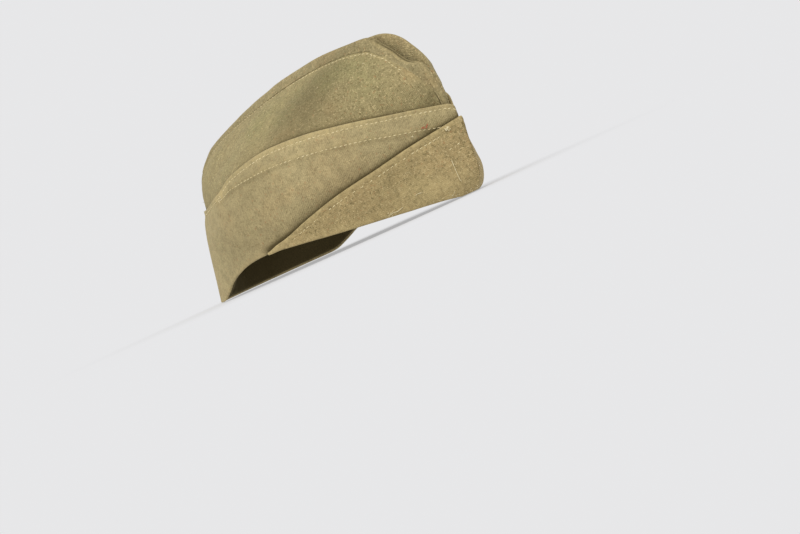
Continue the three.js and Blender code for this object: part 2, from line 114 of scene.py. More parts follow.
# Level sections by height: half width, sharpness of the front and rear crease, fullness.
SECTIONS = {
    "at": (0.0, 0.1, 0.2, 0.32, 0.45, 0.55, 0.66, 0.78, 0.86, 0.93, 1.0),
    "width": (0.95, 0.96, 0.975, 0.985, 0.965, 0.915, 0.8, 0.585, 0.385, 0.19, 0.05),
    "front": (0.85, 0.9, 0.96, 0.98, 0.93, 0.83, 0.79, 0.84, 0.95, 1.0, 1.0),
    "rear": (0.52, 0.6, 0.72, 0.9, 1.05, 1.08, 1.1, 1.08, 1.05, 1.0, 1.0),
    "fullness": (2.1, 2.1, 2.05, 2.0, 1.95, 1.9, 1.9, 1.9, 2.0, 2.2, 2.4),
}

# Edges along one side, from front crease (0) to rear crease (1), as shares of their heights.
RIM_EDGE = {
    "at": (0.0, 0.075, 0.105, 0.16, 0.245, 0.335, 0.43, 0.5, 0.545, 0.59, 0.65, 0.69, 0.715, 0.75, 1.0),
    "rise": (0.0, 0.0, 0.06, 0.18, 0.37, 0.6, 0.87, 1.02, 1.01, 0.89, 0.58, 0.22, 0.04, 0.0, 0.0),
}
CURTAIN_EDGE = {
    "at": (0.0, 0.1, 0.2, 0.3, 0.375, 0.44, 0.5, 0.54, 0.58, 0.67, 0.85, 1.0),
    "rise": (0.845, 0.91, 1.008, 1.12, 1.185, 1.205, 1.175, 1.125, 1.035, 0.96, 0.985, 1.0),
}
FLAP_EDGE = {
    "at": (0.0, 0.1, 0.2, 0.265, 0.335, 0.4, 0.45, 0.5),
    "rise": (1.0, 0.96, 0.88, 0.79, 0.695, 0.565, 0.45, 0.395),
    "fold": (0.0, 0.15, 0.6, 0.9, 1.0, 0.8, 0.35, 0.0),
}

# The gusset from front to rear: crest heights, bands, valley and how free the crests stand.
GUSSET = {
    "at": (0.0, 0.07, 0.12, 0.15, 0.18, 0.215, 0.265, 0.31, 0.38, 0.5, 0.66, 0.85, 1.0),
    "right": (0.0, 0.0, 0.0, -0.22, -0.98, -1.16, -0.92, -0.2, -0.15, 0.08, 0.25, 0.05, 0.0),
    "left": (0.0, 0.0, 0.0, 0.0, -0.03, -0.08, -0.06, -0.12, -0.3, -0.15, -0.05, 0.0, 0.0),
    "right_band": (0.25, 0.25, 0.65, 0.95, 1.2, 1.34, 1.38, 1.1, 0.9, 0.8, 0.7, 0.65, 0.65),
    "left_band": (0.25, 0.36, 0.65, 0.8, 0.92, 1.0, 1.0, 1.0, 1.0, 1.0, 1.0, 0.85, 0.65),
    "valley": (0.1, 0.1, 0.1, 0.28, 0.95, 1.0, 1.0, 1.0, 1.0, 1.0, 0.85, 0.5, 0.2),
    "lift": (0.0, 0.0, 0.25, 0.6, 0.85, 1.0, 1.0, 1.0, 1.0, 1.0, 1.0, 0.8, 0.0),
}

# Soft dents: side (-1 is right), place along it, height share, reach, tallness, depth share.
DENTS = (
    (-1, 0.3, 0.72, 0.07, 0.07, 0.9),
    (-1, 0.56, 0.76, 0.09, 0.08, 1.0),
    (-1, 0.72, 0.34, 0.05, 0.16, 0.6),
    (-1, 0.22, 0.3, 0.06, 0.12, -0.5),
    (-1, 0.47, 0.8, 0.03, 0.09, 0.7),
    (-1, 0.62, 0.66, 0.03, 0.1, 0.5),
    (-1, 0.14, 0.6, 0.04, 0.035, 0.7),
    (1, 0.36, 0.74, 0.08, 0.07, 0.9),
    (1, 0.62, 0.7, 0.08, 0.09, 0.8),
    (1, 0.48, 0.3, 0.07, 0.14, 0.5),
)


# Shape of the cap.

def table(rows, column, share):
    """The smooth value of one column of a table at a share."""
    xs = np.array(rows["at"])
    ys = np.array(rows[column])
    x = np.clip(share, xs[0], xs[-1])
    slopes = np.empty_like(ys)
    slopes[1:-1] = (ys[2:] - ys[:-2]) / (xs[2:] - xs[:-2])
    slopes[0] = (ys[1] - ys[0]) / (xs[1] - xs[0])
    slopes[-1] = (ys[-1] - ys[-2]) / (xs[-1] - xs[-2])
    i = np.clip(np.searchsorted(xs, x, side="right") - 1, 0, len(xs) - 2)
    h = xs[i + 1] - xs[i]
    u = (x - xs[i]) / h
    ease = u * u * (3 - 2 * u)
    bend = u * (1 - u) ** 2 * slopes[i] + u * u * (u - 1) * slopes[i + 1]
    return ys[i] + (ys[i + 1] - ys[i]) * ease + h * bend


def smooth(x, low, high):
    u = np.clip((x - low) / (high - low), 0, 1)
    return u * u * (3 - 2 * u)


def lerp(a, b, u):
    return a + (b - a) * u


def bell(x, reach):
    return np.exp(-((x / reach) ** 2) / 2)


def unit(v):
    return v / np.maximum(np.linalg.norm(v, axis=-1, keepdims=True), 1e-9)


def soft_line(spec, place):
    """A soft band: its strength, its reach and the place of its middle."""
    strength, reach, middle = spec
    return strength * bell(place - middle, reach)


def soft_shadow(spec, distance):
    """A shadow that is strongest at the start and runs out over its reach."""
    strength, reach = spec
    return strength * np.exp(-distance / reach)


def spots(rows, along, height):
    """The sum of soft spots, whose rows say place along, height, reach, tallness and strength."""
    total = 0 * along
    for at, high, reach, tall, strength in rows:
        total = total + strength * bell(along - at, reach) * bell(height - high, tall)
    return total


def spline(points, steps):
    """A Catmull-Rom line through the points, with so many steps between two of them."""
    ends = np.vstack([2 * points[0] - points[1], points, 2 * points[-1] - points[-2]])
    t = (np.arange(steps) / steps)[:, None]
    line = []
    for a, b, c, d in zip(ends[:-3], ends[1:-2], ends[2:-1], ends[3:]):
        curl = 2 * a - 5 * b + 4 * c - d
        twist = d + 3 * b - a - 3 * c
        line.append(b + 0.5 * t * ((c - a) + t * (curl + t * twist)))
    return np.vstack(line + [points[-1:]])


outline = spline(OUTLINE * (CAP_LENGTH / 2, CAP_HEIGHT), OUTLINE_STEPS)
outline_steps = np.gradient(outline, axis=0)
outline_normal = unit(np.stack([-outline_steps[:, 1], outline_steps[:, 0]], 1))


def dent(side, along, z):
    rows = [row[1:] for row in DENTS if row[0] == side]
    depth = DENT_DEPTH * spots(rows, along, z / CAP_HEIGHT)
    return depth * np.minimum(1, np.minimum(along, 1 - along) / DENT_FADE)


def rim_height(along):
    return np.maximum(table(RIM_EDGE, "rise", along), 0) * RIM_ARCH


def flap_top(along):
    return np.maximum(table(FLAP_EDGE, "rise", along) * FLAP_HEIGHT, rim_height(along) + FLAP_END_HEIGHT)


def fold(along, z):
    """The fold that the cloth under the flap makes just above the flap's edge."""
    above = z - flap_top(along) - FOLD_ABOVE_FLAP
    depth = FOLD_DEPTH * table(FLAP_EDGE, "fold", along) * bell(above, FOLD_REACH)
    return np.where(along < FLAP_END, depth, 0)


TOP_MARGIN = 0.01


class Surface:
    """One nested surface of the cap, moved out by an offset."""

    def __init__(self, offset, folded=True):
        self.offset = offset
        self.folded = folded
        moved = outline + outline_normal * offset * CREASE_MITRE
        peak = int(np.argmax(moved[:, 1]))
        self.front = moved[: peak + 1]
        self.rear = moved[peak:][::-1]
        self.top = moved[peak, 1]

    @staticmethod
    def crossing(line, z):
        low = line[0, 1]
        slope = (line[1, 0] - line[0, 0]) / (line[1, 1] - low)
        return np.where(z < low, line[0, 0] + slope * (z - low), np.interp(z, line[:, 1], line[:, 0]))

    def section(self, z):
        level = np.minimum(z, self.top - TOP_MARGIN)
        a = self.crossing(self.front, level)
        b = self.crossing(self.rear, level)
        return (a + b) / 2, (b - a) / 2, np.maximum(level, 0) / self.top

    def point(self, side, along, z):
        along, z = np.broadcast_arrays(np.asarray(along, float), np.asarray(z, float))
        middle, half, share = self.section(z)
        c = np.cos(np.pi * along)
        ease = smooth((1 - c) / 2, 0, 1)
        sharp = lerp(table(SECTIONS, "front", share), table(SECTIONS, "rear", share), ease)
        fullness = table(SECTIONS, "fullness", share)
        bulge = np.clip(1 - np.abs(c) ** fullness, 0, None) ** sharp
        width = table(SECTIONS, "width", share) * CAP_WIDTH / 2 + self.offset
        pushed = dent(side, along, z) + (fold(along, z) if self.folded else 0)
        x = np.maximum((width - pushed) * bulge, 0)
        return np.stack([side * x, middle - half * c, z], -1)

    def along_of(self, y, z):
        middle, half, _ = self.section(z)
        return np.arccos(np.clip((middle - y) / half, -1, 1)) / np.pi


crown_outside = Surface(0)
curtain_outside = Surface(LAYER_GAP + CLOTH)
flap_outside = Surface(2 * LAYER_GAP + 2 * CLOTH, folded=False)


def curtain_bottom(along):
    hidden = 1 - smooth(along, FLAP_END - HIDDEN_HEM_FADE, FLAP_END)
    return rim_height(along) + HIDDEN_HEM_LIFT * hidden


def rounded_tip(along, reach, drop):
    """How far the rounded tip of an edge lies below it near the front crease."""
    return drop * (1 - np.sqrt(1 - (1 - np.minimum(along / reach, 1)) ** 2))


def curtain_top(side, along):
    rounding = rounded_tip(along, TIP_REACH, TIP_DROP)
    lower = 0 if side < 0 else LEFT_DROP * (1 - smooth(along, 0, LEFT_DROP_REACH))
    return table(CURTAIN_EDGE, "rise", along) * CURTAIN_HEIGHT - rounding - lower


def stand_off(along, z):
    rise = smooth(z, STAND_OFF_FROM * FLAP_HEIGHT, STAND_OFF_TO * FLAP_HEIGHT)
    return (1 - smooth(along, 0, STAND_OFF_REACH)) * rise


# The stretch of the outline that the gusset follows.
steps_along = np.linalg.norm(np.diff(outline, axis=0), axis=1)
run = np.concatenate([[0], np.cumsum(steps_along)])
peak_index = int(np.argmax(outline[:, 1]))
gusset_start = int(np.argmax(outline[:, 1] >= CURTAIN_EDGE["rise"][0] * CURTAIN_HEIGHT - GUSSET_TUCK))
gusset_end = peak_index + int(np.argmax(outline[peak_index:, 1] <= CAP_HEIGHT - GUSSET_REAR_DROP))


def spine_at(share):
    wanted = lerp(run[gusset_start], run[gusset_end], np.asarray(share, float))
    place = np.stack([np.interp(wanted, run, outline[:, k]) for k in (0, 1)], -1)
    normal = np.stack([np.interp(wanted, run, outline_normal[:, k]) for k in (0, 1)], -1)
    return place, unit(normal)


def band_at(side, share):
    return GUSSET_BAND * table(GUSSET, "right_band" if side < 0 else "left_band", share)


def seam_depth(surface, side, share):
    """How far the gusset's seam lies below the spine; an inner surface starts lower."""
    inset = -surface.offset * CREASE_MITRE
    return np.maximum(band_at(side, share), inset + INNER_SEAM_DEPTH)


def beside_spine(surface, share, depth):
    """The place along a side, and its height, at a depth below the spine."""
    place, normal = spine_at(share)
    moved = place - normal * np.asarray(depth)[..., None]
    return surface.along_of(moved[..., 0], moved[..., 1]), moved[..., 1]


# Cloth: slow waves, felt, and the grids of points that the pieces are made of.

NOISE_CELLS = 48
NOISE_START = 1000.37
TWILL_ACROSS = 0.75
TWILL_UP = 0.65


def lattice_noise(points, size, seed):
    """Smooth seeded noise from -1 to 1 with features of about the given size."""
    lattice = np.random.default_rng(seed).uniform(-1, 1, (NOISE_CELLS,) * 3)
    q = points / size + NOISE_START
    low = np.floor(q).astype(int)
    f = q - low
    f = f * f * (3 - 2 * f)
    total = 0
    for corner in itertools.product((0, 1), repeat=3):
        share = 1
        for k, d in enumerate(corner):
            share = share * (f[..., k] if d else 1 - f[..., k])
        i, j, k = ((low[..., n] + d) % NOISE_CELLS for n, d in enumerate(corner))
        total = total + share * lattice[i, j, k]
    return total


def grid_normals(grid, outward):
    """Unit normals of a grid of points, turned to the side that a direction points to."""
    normal = unit(np.cross(np.gradient(grid, axis=1), np.gradient(grid, axis=0)))
    middle = tuple(n // 2 for n in grid.shape[:2])
    if np.dot(normal[middle], outward) < 0:
        normal = -normal
    return normal


def run_of(grid, axis):
    """How far each point of a grid lies along its row or column."""
    return np.cumsum(np.linalg.norm(np.gradient(grid, axis=axis), axis=-1), axis=axis)


def twill_of(grid):
    """How far a place lies across the cloth's slanting ribs."""
    return TWILL_ACROSS * run_of(grid, 1) + TWILL_UP * run_of(grid, 0)


# Slow waves and felt of the cloth: feature size, height, seed.
CLOTH_WAVES = ((55.0, 1.1, 3), (24.0, 0.55, 5), (11.0, 0.22, 7), (4.5, 0.09, 11), (1.9, 0.05, 13))


def cloth_relief(grid, amount=1.0):
    return amount * sum(height * lattice_noise(grid, size, seed) for size, height, seed in CLOTH_WAVES)


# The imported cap's origin is the middle of its footprint, so the shape moves there.
FRONT_LINE_POINTS = 5
right_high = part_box("curtain_right")[1]
left_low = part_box("curtain_left")[0]
flap_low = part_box("front_flap")[0]
front_heights = np.linspace(0, flap_top(0.0), FRONT_LINE_POINTS)
front_line = flap_outside.point(1, 0, front_heights)[:, 1] - CURTAIN_STAND_OFF * stand_off(0.0, front_heights)
SHIFT = np.array([
    (right_high.x + left_low.x) / 2 / MM,
    flap_low.y / MM - front_line.min(),
    cad_box[0][2] / MM,
])


def to_metres(points):
    return (np.asarray(points) + SHIFT) * MM


# The rounded hems of the cloth.
HEM_TURN = np.radians((-60, -30, 0, 30, 60))
HEM_RADIUS = CLOTH / 2


def hem(a, b, away):
    """Rows of points that round the edge of the cloth from row a to row b."""
    middle = (a + b) / 2
    across = (b - a) / 2
    bulge = np.linalg.norm(across, axis=-1, keepdims=True) * away
    return np.array([middle + across * math.sin(t) + bulge * math.cos(t) for t in HEM_TURN])


def shell_object(name, outer, inner, wear_and_highlight, shade, tone):
    """A closed sheet of cloth between two grids of points, with rounded hems and its marks."""
    rows, columns = outer.shape[:2]
    top = hem(outer[-1], inner[-1], unit(outer[-1] - outer[-2]))
    bottom = hem(inner[0], outer[0], unit(outer[0] - outer[1]))
    loop = np.concatenate([outer, top, inner[::-1], bottom])
    loop[..., 2] = np.maximum(loop[..., 2], 0)
    count = len(loop)
    r, c = np.meshgrid(np.arange(count), np.arange(columns - 1), indexing="ij")
    below = (r + 1) % count
    corners = (r * columns + c, r * columns + c + 1, below * columns + c + 1, below * columns + c)
    faces = np.stack(corners, -1).reshape(-1, 4).tolist()
    edge = len(HEM_TURN)
    mirror = 2 * rows + edge - 1
    for column in (0, columns - 1):
        for k in range(-(edge // 2) - 1, rows + edge // 2):
            ring = [(i % count) * columns + column for i in (k, k + 1, mirror - k - 1, mirror - k)]
            faces.append(list(dict.fromkeys(ring)))
    mesh = bpy.data.meshes.new(name)
    mesh.from_pydata(to_metres(loop.reshape(-1, 3)).tolist(), [], faces)
    marks = {"wear_and_highlight": wear_and_highlight, "shade": shade, "tone": tone, "twill": twill_of(outer)}
    for mark, values in marks.items():
        top_mark = np.repeat(values[-1:], edge, 0)
        bottom_mark = np.repeat(values[:1], edge, 0)
        full = np.concatenate([values, top_mark, values[::-1], bottom_mark])
        layer = mesh.attributes.new(mark, "FLOAT", "POINT")
        layer.data.foreach_set("value", full.reshape(-1).astype(np.float32))
    return finished(name, mesh)


def in_scene(name, data):
    """A new object with its data, in the scene."""
    made = bpy.data.objects.new(name, data)
    bpy.context.scene.collection.objects.link(made)
    return made


def finished(name, mesh):
    """Turns a mesh's faces outward, smooths it and puts it in the scene."""
    work = bmesh.new()
    work.from_mesh(mesh)
    bmesh.ops.recalc_face_normals(work, faces=work.faces)
    work.to_mesh(mesh)
    work.free()
    mesh.shade_smooth()
    piece = in_scene(name, mesh)
    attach(piece, "root")
    return piece


# The two halves almost touch in the look, so that no light shows through their seams.
SHOWN_SEAM_GAP = 0.06
SEAM_CLOSE_REACH = 2.0
MIDDLE_FADE = 7.0
SIDE_LEAN = 0.3


def clear_of_middle(side, grid):
    grid = grid.copy()
    x = side * grid[..., 0]
    closed = x - SEAM_GAP / 2 * (1 - smooth(x, SEAM_GAP / 2, SEAM_CLOSE_REACH))
    grid[..., 0] = side * np.maximum(closed, SHOWN_SEAM_GAP / 2)
    return grid


def relief(outer, inner, outward, amount):
    """Both grids of a sheet, moved by an amount along the outer grid's normals.

    A left or right piece moves less to the side near the middle.
    """
    normal = grid_normals(outer, outward)
    move = normal * amount[..., None]
    if outward[0]:
        move[..., 0] *= smooth(np.abs(outer[..., 0]), 0, MIDDLE_FADE)
    return outer + move, inner + move, normal


# Crown sides.
CROWN_COLUMNS = 300
CROWN_GRID_ROWS = 110
CAD_COLUMNS = 44
CAD_END_COLUMNS = 2


def crown_grid(surface, side):
    step = np.linspace(0, CAD_COLUMNS, CROWN_COLUMNS)
    seam_share = np.clip((step - CAD_END_COLUMNS) / (CAD_COLUMNS - 2 * CAD_END_COLUMNS), 0, 1)
    inside_end = np.clip(np.minimum(step, CAD_COLUMNS - step) / CAD_END_COLUMNS, 0, 1)
    depth = lerp(-surface.offset * CREASE_MITRE, seam_depth(surface, side, seam_share), inside_end)
    top_along, top_z = beside_spine(surface, seam_share, depth)
    top_z = top_z - SEAM_END_DROP * (1 - inside_end)
    rim_along = step / CAD_COLUMNS
    up = np.linspace(0, 1, CROWN_GRID_ROWS)[:, None]
    along = lerp(rim_along, top_along, up)
    z = lerp(rim_height(rim_along) + CROWN_HEM_LIFT, top_z, up)
    return clear_of_middle(side, surface.point(side, along, z)), along, z, up * np.ones_like(along)


# Low relief of the crown: waves that run out at the creases and the seam, and a rolled seam.
CROWN_WAVES = 1.4
CREASE_FADE = 12.0
CROWN_SEAM_FADE = 14.0
SEAM_ROLL = 0.3
SEAM_ROLL_REACH = 2.0
SEAM_ROLL_START = (0.12, 0.22)

# Lines and shadows on the crown: strength, reach and middle, in millimetres. The line and shadow at the
# curtain's edge and the line at the front crease are painted shade.
CROWN_SEAM_WEAR = (0.3, 2.0, 0.0)
CURTAIN_CONTACT_SHADE = (0.9, 1.3, 0.0)
CURTAIN_SHADOW = (0.22, 6.0)
FRONT_SEAM_LINE = (0.75, 0.9, 0.0)
FRONT_CREASE_SHADE = (0.4, 1.8, 0.0)

# Where the front seam's line ends, by height and along, and where the slanting crease's painted shade lies.
FRONT_SEAM_TOP = (60.0, 68.0)
FRONT_SEAM_END = 0.3
FRONT_CREASE = {"at": 0.08, "reach": 0.022, "height": 64.1, "slope": 70.0}

# Spots on the crown: a soiled patch that also holds painted fold shade, and a painted highlight on a soft
# fold's ridge.
CROWN_DIRT_AND_SHADE = ((0.385, 95.0, 0.06, 15.0, 0.5),)
CROWN_RIDGE_HIGHLIGHT = ((0.485, 90.0, 0.02, 13.0, 0.3),)


def crown_side(side, name):
    outer, along, z, up = crown_grid(crown_outside, side)
    inner = crown_grid(Surface(-CLOTH), side)[0]
    below_seam = (1 - up) * (z[-1] - z[0])
    roll = SEAM_ROLL * (1 - smooth(below_seam, 0, SEAM_ROLL_REACH)) * smooth(along, *SEAM_ROLL_START)
    waves = cloth_relief(outer, CROWN_WAVES) * smooth(np.abs(outer[..., 0]), 0, CREASE_FADE)
    amount = waves * smooth(below_seam, 0, CROWN_SEAM_FADE) - roll
    outer, inner, normal = relief(outer, inner, (side, 0, SIDE_LEAN), amount)
    outer = clear_of_middle(side, outer)
    inner = clear_of_middle(side, inner)
    above = np.maximum(z - curtain_top(side, along), 0)
    front_seam = soft_line(FRONT_SEAM_LINE, below_seam) * (along < FRONT_SEAM_END)
    front_seam = front_seam * (1 - smooth(z[-1], *FRONT_SEAM_TOP))
    # A painted shade line along the slanting crease at the front.
    forward = FRONT_CREASE["at"] - along
    above_crease = z - FRONT_CREASE["height"] - FRONT_CREASE["slope"] * forward
    crease_shade = soft_line(FRONT_CREASE_SHADE, above_crease) * bell(forward, FRONT_CREASE["reach"])
    # Wear along the top seam, and a painted highlight on a soft fold's ridge.
    wear_and_highlight = soft_line(CROWN_SEAM_WEAR, below_seam) + spots(CROWN_RIDGE_HIGHLIGHT, along, z)
    # Painted shade: a dark line and a shadow on the crown just above the curtain's edge.
    shade = soft_line(CURTAIN_CONTACT_SHADE, above) + soft_shadow(CURTAIN_SHADOW, above)
    shade = shade + spots(CROWN_DIRT_AND_SHADE, along, z) + front_seam + crease_shade
    return shell_object(name, outer, inner, wear_and_highlight, shade, tone_of(side, along, z)), outer, normal


# Patches of the cloth on the right side: place along, height, reach, tallness, tone.
# A tone above 0 is browner, below 0 greener.
PATCHES = (
    (0.1, 84.0, 0.06, 9.0, 1.0),
    (0.36, 88.0, 0.05, 9.0, 0.7),
    (0.33, 100.0, 0.06, 8.0, -1.0),
    (0.24, 84.0, 0.06, 8.0, -0.4),
    (0.48, 95.0, 0.07, 9.0, -0.8),
    (0.06, 68.0, 0.05, 6.0, -0.6),
    (0.42, 50.0, 0.05, 9.0, 0.2),
    (0.2, 52.0, 0.05, 7.0, -0.1),
    (0.12, 25.0, 0.06, 8.0, 0.15),
)
LEFT_PATCH_SHIFT = 0.07
LEFT_PATCH_STRENGTH = 0.5


def tone_of(side, along, z):
    if side < 0:
        return spots(PATCHES, along, z)
    return LEFT_PATCH_STRENGTH * spots(PATCHES, along - LEFT_PATCH_SHIFT, z)


# Curtain halves.
CURTAIN_COLUMNS = 400
CURTAIN_GRID_ROWS = 70


def curtain_grid(surface, side):
    along = np.linspace(0, 1, CURTAIN_COLUMNS) * np.ones((CURTAIN_GRID_ROWS, 1))
    up = np.linspace(0, 1, CURTAIN_GRID_ROWS)[:, None]
    z = lerp(curtain_bottom(along) + HEM_RADIUS, curtain_top(side, along), up)
    grid = surface.point(side, along, z)
    grid[..., 1] -= (CURTAIN_STAND_OFF if side < 0 else LEFT_STAND_OFF) * stand_off(along, z)
    return clear_of_middle(side, grid), along, z


# How far below the curtain's top edge its second stitch row runs.
SECOND_ROW = {
    "at": (0.0, 0.15, 0.3, 0.4, 0.5, 0.56, 0.6),
    "drop": (13.0, 13.0, 11.2, 10.6, 8.6, 5.5, 2.2),
}
EDGE_ROW_DROP = 1.9
FLAP_ROW_DROP = 3.4
STITCH_PITCH = 3.1
GROOVE_DEPTH = 0.3
GROOVE_REACH = 0.8
PUCKER_DEPTH = 0.15


def row_groove(below_top, drop, run_along):
    """The cloth pulled in along a stitch row, a little more at each needle hole."""
    pucker = 0.5 + 0.5 * np.cos(2 * np.pi * run_along / STITCH_PITCH)
    return -(GROOVE_DEPTH + PUCKER_DEPTH * pucker) * bell(below_top - drop, GROOVE_REACH)


# The doubled cloth above the second row, the fuller rear half and its pressed top edge.
HEM_FULLNESS = 0.35
HEM_STEP = 1.0
REAR_START = (0.62, 0.8)
REAR_FULLNESS = (1.7, 13.0, 41.0)
REAR_PRESS = (1.3, 4.0, 0.0)

# Lines and shadows on the curtain: strength, reach and middle, in millimetres. The flap's gap line, its
# shadows and the row's dark line are painted shade, and the top edge's wear also holds a painted highlight.
FLAP_GAP_SHADE = (0.97, 2.1, 0.0)
FLAP_SHADOW = (0.18, 6.5)
FOLD_SHADOW = (0.26, 6.5)
MIDDLE_SEAM_LINE = (0.4, 0.6, 0.0)
EDGE_WEAR_AND_HIGHLIGHT = (0.6, 1.6, 0.0)
RIM_WEAR = (0.5, 1.5, 0.0)
ROW_PALE_LINE = (0.35, 1.0, -0.9)
ROW_SHADE = (0.2, 1.0, 1.3)

# Where the top edge's wear and painted highlight drop to their share at the rear, and where the flap's
# painted shade ends.
EDGE_WEAR_AND_HIGHLIGHT_END = (0.56, 0.68)
REAR_EDGE_WEAR_AND_HIGHLIGHT = 0.1
FLAP_SHADE_END = (FLAP_END - 0.01, FLAP_END + 0.02)

# Spots on the curtain: darker patches, a pocket of painted shade and a frayed place. The pocket's height is
# taken above the flap's edge, that of the frayed place below the curtain's top.
CURTAIN_DARKER_PATCHES = ((0.56, 32.0, 0.08, 15.0, 0.2), (0.49, 63.0, 0.045, 9.0, 0.24))
POCKET_SHADE = ((0.46, 0.0, 0.025, 2.6, 0.5),)
FRAYED_PLACE = ((0.572, 3.0, 0.014, 2.6, 0.9),)


def curtain(side, name):
    outer, along, z = curtain_grid(curtain_outside, side)
    inner = curtain_grid(Surface(LAYER_GAP), side)[0]
    below_top = curtain_top(side, along) - z
    run_along = run_of(outer, 1)
    second = table(SECOND_ROW, "drop", along)
    stitched = along < SECOND_ROW["at"][-1]
    amount = cloth_relief(outer) * smooth(np.abs(outer[..., 0]), 0, CREASE_FADE)
    amount = amount + row_groove(below_top, EDGE_ROW_DROP, run_along)
    amount = amount + stitched * row_groove(below_top, second, run_along)
    amount = amount + HEM_FULLNESS * (1 - smooth(below_top, second - HEM_STEP, second + HEM_STEP))
    at_rear = smooth(along, *REAR_START)
    amount = amount + at_rear * soft_line(REAR_FULLNESS, z)
    middle_seam = soft_line(MIDDLE_SEAM_LINE, outer[..., 0])
    outer, inner, normal = relief(outer, inner, (side, 0, SIDE_LEAN), amount)
    outer = outer - normal * (at_rear * soft_line(REAR_PRESS, below_top))[..., None]
    outer = clear_of_middle(side, outer)
    inner = clear_of_middle(side, inner)
    above_flap = np.maximum(z - flap_top(along), 0)
    # Painted shade in the gap above the flap's edge, and painted shadows on the curtain above it.
    flap_shade = soft_line(FLAP_GAP_SHADE, above_flap) + soft_shadow(FLAP_SHADOW, above_flap)
    flap_shade = flap_shade + table(FLAP_EDGE, "fold", along) * soft_shadow(FOLD_SHADOW, above_flap)
    flap_shade = flap_shade + spots(POCKET_SHADE, along, above_flap)
    flap_shade = flap_shade * (1 - smooth(along, *FLAP_SHADE_END))
    # Wear with a painted highlight along the curtain's top edge, weaker towards the rear.
    edge_wear_and_highlight = soft_line(EDGE_WEAR_AND_HIGHLIGHT, below_top) * lerp(1, REAR_EDGE_WEAR_AND_HIGHLIGHT, smooth(along, *EDGE_WEAR_AND_HIGHLIGHT_END))
    rim_wear = soft_line(RIM_WEAR, z - curtain_bottom(along))
    # A pale line just above the second stitch row, and a painted shade line just below it.
    row_pale_line = stitched * soft_line(ROW_PALE_LINE, below_top - second)
    row_shade = stitched * soft_line(ROW_SHADE, below_top - second)
    darker_patches = spots(CURTAIN_DARKER_PATCHES, along, z)
    wear_and_highlight = edge_wear_and_highlight + rim_wear + row_pale_line + spots(FRAYED_PLACE, along, below_top)
    shade = np.minimum(flap_shade + darker_patches + middle_seam + row_shade, 1)
    return shell_object(name, outer, inner, wear_and_highlight, shade, tone_of(side, along, z)), outer, normal


# Front flap.
FLAP_COLUMNS = 401
FLAP_GRID_ROWS = 56
FLAP_TIP_REACH = 0.04
FLAP_TIP_DROP = 4.0
FLAP_RUN_OUT = 0.03
FLAP_LEAST_HEIGHT = 0.5
FLAP_HEM_THINNING = 0.5

# The flap's top edge with a painted highlight, its worn rim, and its shaded rear: strength, reach and middle.
FLAP_EDGE_HIGHLIGHT = (0.7, 1.5, 0.0)
FLAP_RIM_WEAR = (0.6, 2.5, 0.0)
FLAP_REAR_SHADE = (0.12, 0.06, 0.38)

# Spots on the flap.
FLAP_WORN = ((0.17, 9.0, 0.07, 6.0, 0.6),)
FLAP_SOILED = ((0.245, 29.0, 0.05, 7.0, 0.18), (0.275, 13.0, 0.04, 7.0, 0.14))


def flap_grid(surface):
    place = np.linspace(-FLAP_END, FLAP_END, FLAP_COLUMNS) * np.ones((FLAP_GRID_ROWS, 1))
    side = np.where(place < 0, -1, 1)
    along = np.abs(place)
    up = np.linspace(0, 1, FLAP_GRID_ROWS)[:, None]
    run_out = (FLAP_END_HEIGHT - FLAP_LEAST_HEIGHT) * smooth(along, FLAP_END - FLAP_RUN_OUT, FLAP_END)
    low = rim_height(along) + HEM_RADIUS * (1 - FLAP_HEM_THINNING * run_out)
    high = flap_top(along) - run_out - rounded_tip(along, FLAP_TIP_REACH, FLAP_TIP_DROP)
    z = lerp(low, high, up)
    right = surface.point(-1, along, z)
    left = surface.point(1, along, z)
    grid = np.where((side < 0)[..., None], right, left)
    grid[..., 1] -= CURTAIN_STAND_OFF * stand_off(along, z)
    return grid, along, z, side


def front_flap(name):
    outer, along, z, side = flap_grid(flap_outside)
    inner = flap_grid(Surface(2 * LAYER_GAP + CLOTH, folded=False))[0]
    below_top = flap_top(along) - z
    run_along = run_of(outer, 1)
    above_rim = z - rim_height(along)
    amount = cloth_relief(outer) + row_groove(below_top, FLAP_ROW_DROP, run_along)
    outer, inner, normal = relief(outer, inner, (0, -1, 0), amount)
    # A painted highlight along the flap's top edge, with wear on its rim and a worn patch.
    wear_and_highlight = soft_line(FLAP_EDGE_HIGHLIGHT, below_top) + soft_line(FLAP_RIM_WEAR, above_rim)
    wear_and_highlight = wear_and_highlight + spots(FLAP_WORN, along, above_rim)
    shade = spots(FLAP_SOILED, along, z) + soft_line(FLAP_REAR_SHADE, along)
    tone = np.where(side < 0, tone_of(-1, along, z), tone_of(1, along, z))
    return shell_object(name, outer, inner, wear_and_highlight, shade, tone), outer, normal


# Top gusset: seam, shoulder, crest, valley lip, valley wall and bottom on each side.
GUSSET_ROWS = 400
GUSSET_SPLINE_STEPS = 7
CREST_LIMIT = 0.55
VALLEY_LIMIT = 0.75
SHOULDER_ACROSS = 0.5
SHOULDER_DOWN = 0.36
LIP_ACROSS = 0.25
LIP_DOWN = 0.2
CREST_FOLLOW = 0.8
SHOULDER_IN = 0.5
SHOULDER_IN_LIMIT = 0.3
SHOULDER_CLOTH = 0.7
FOOT_CLOTH = 0.6


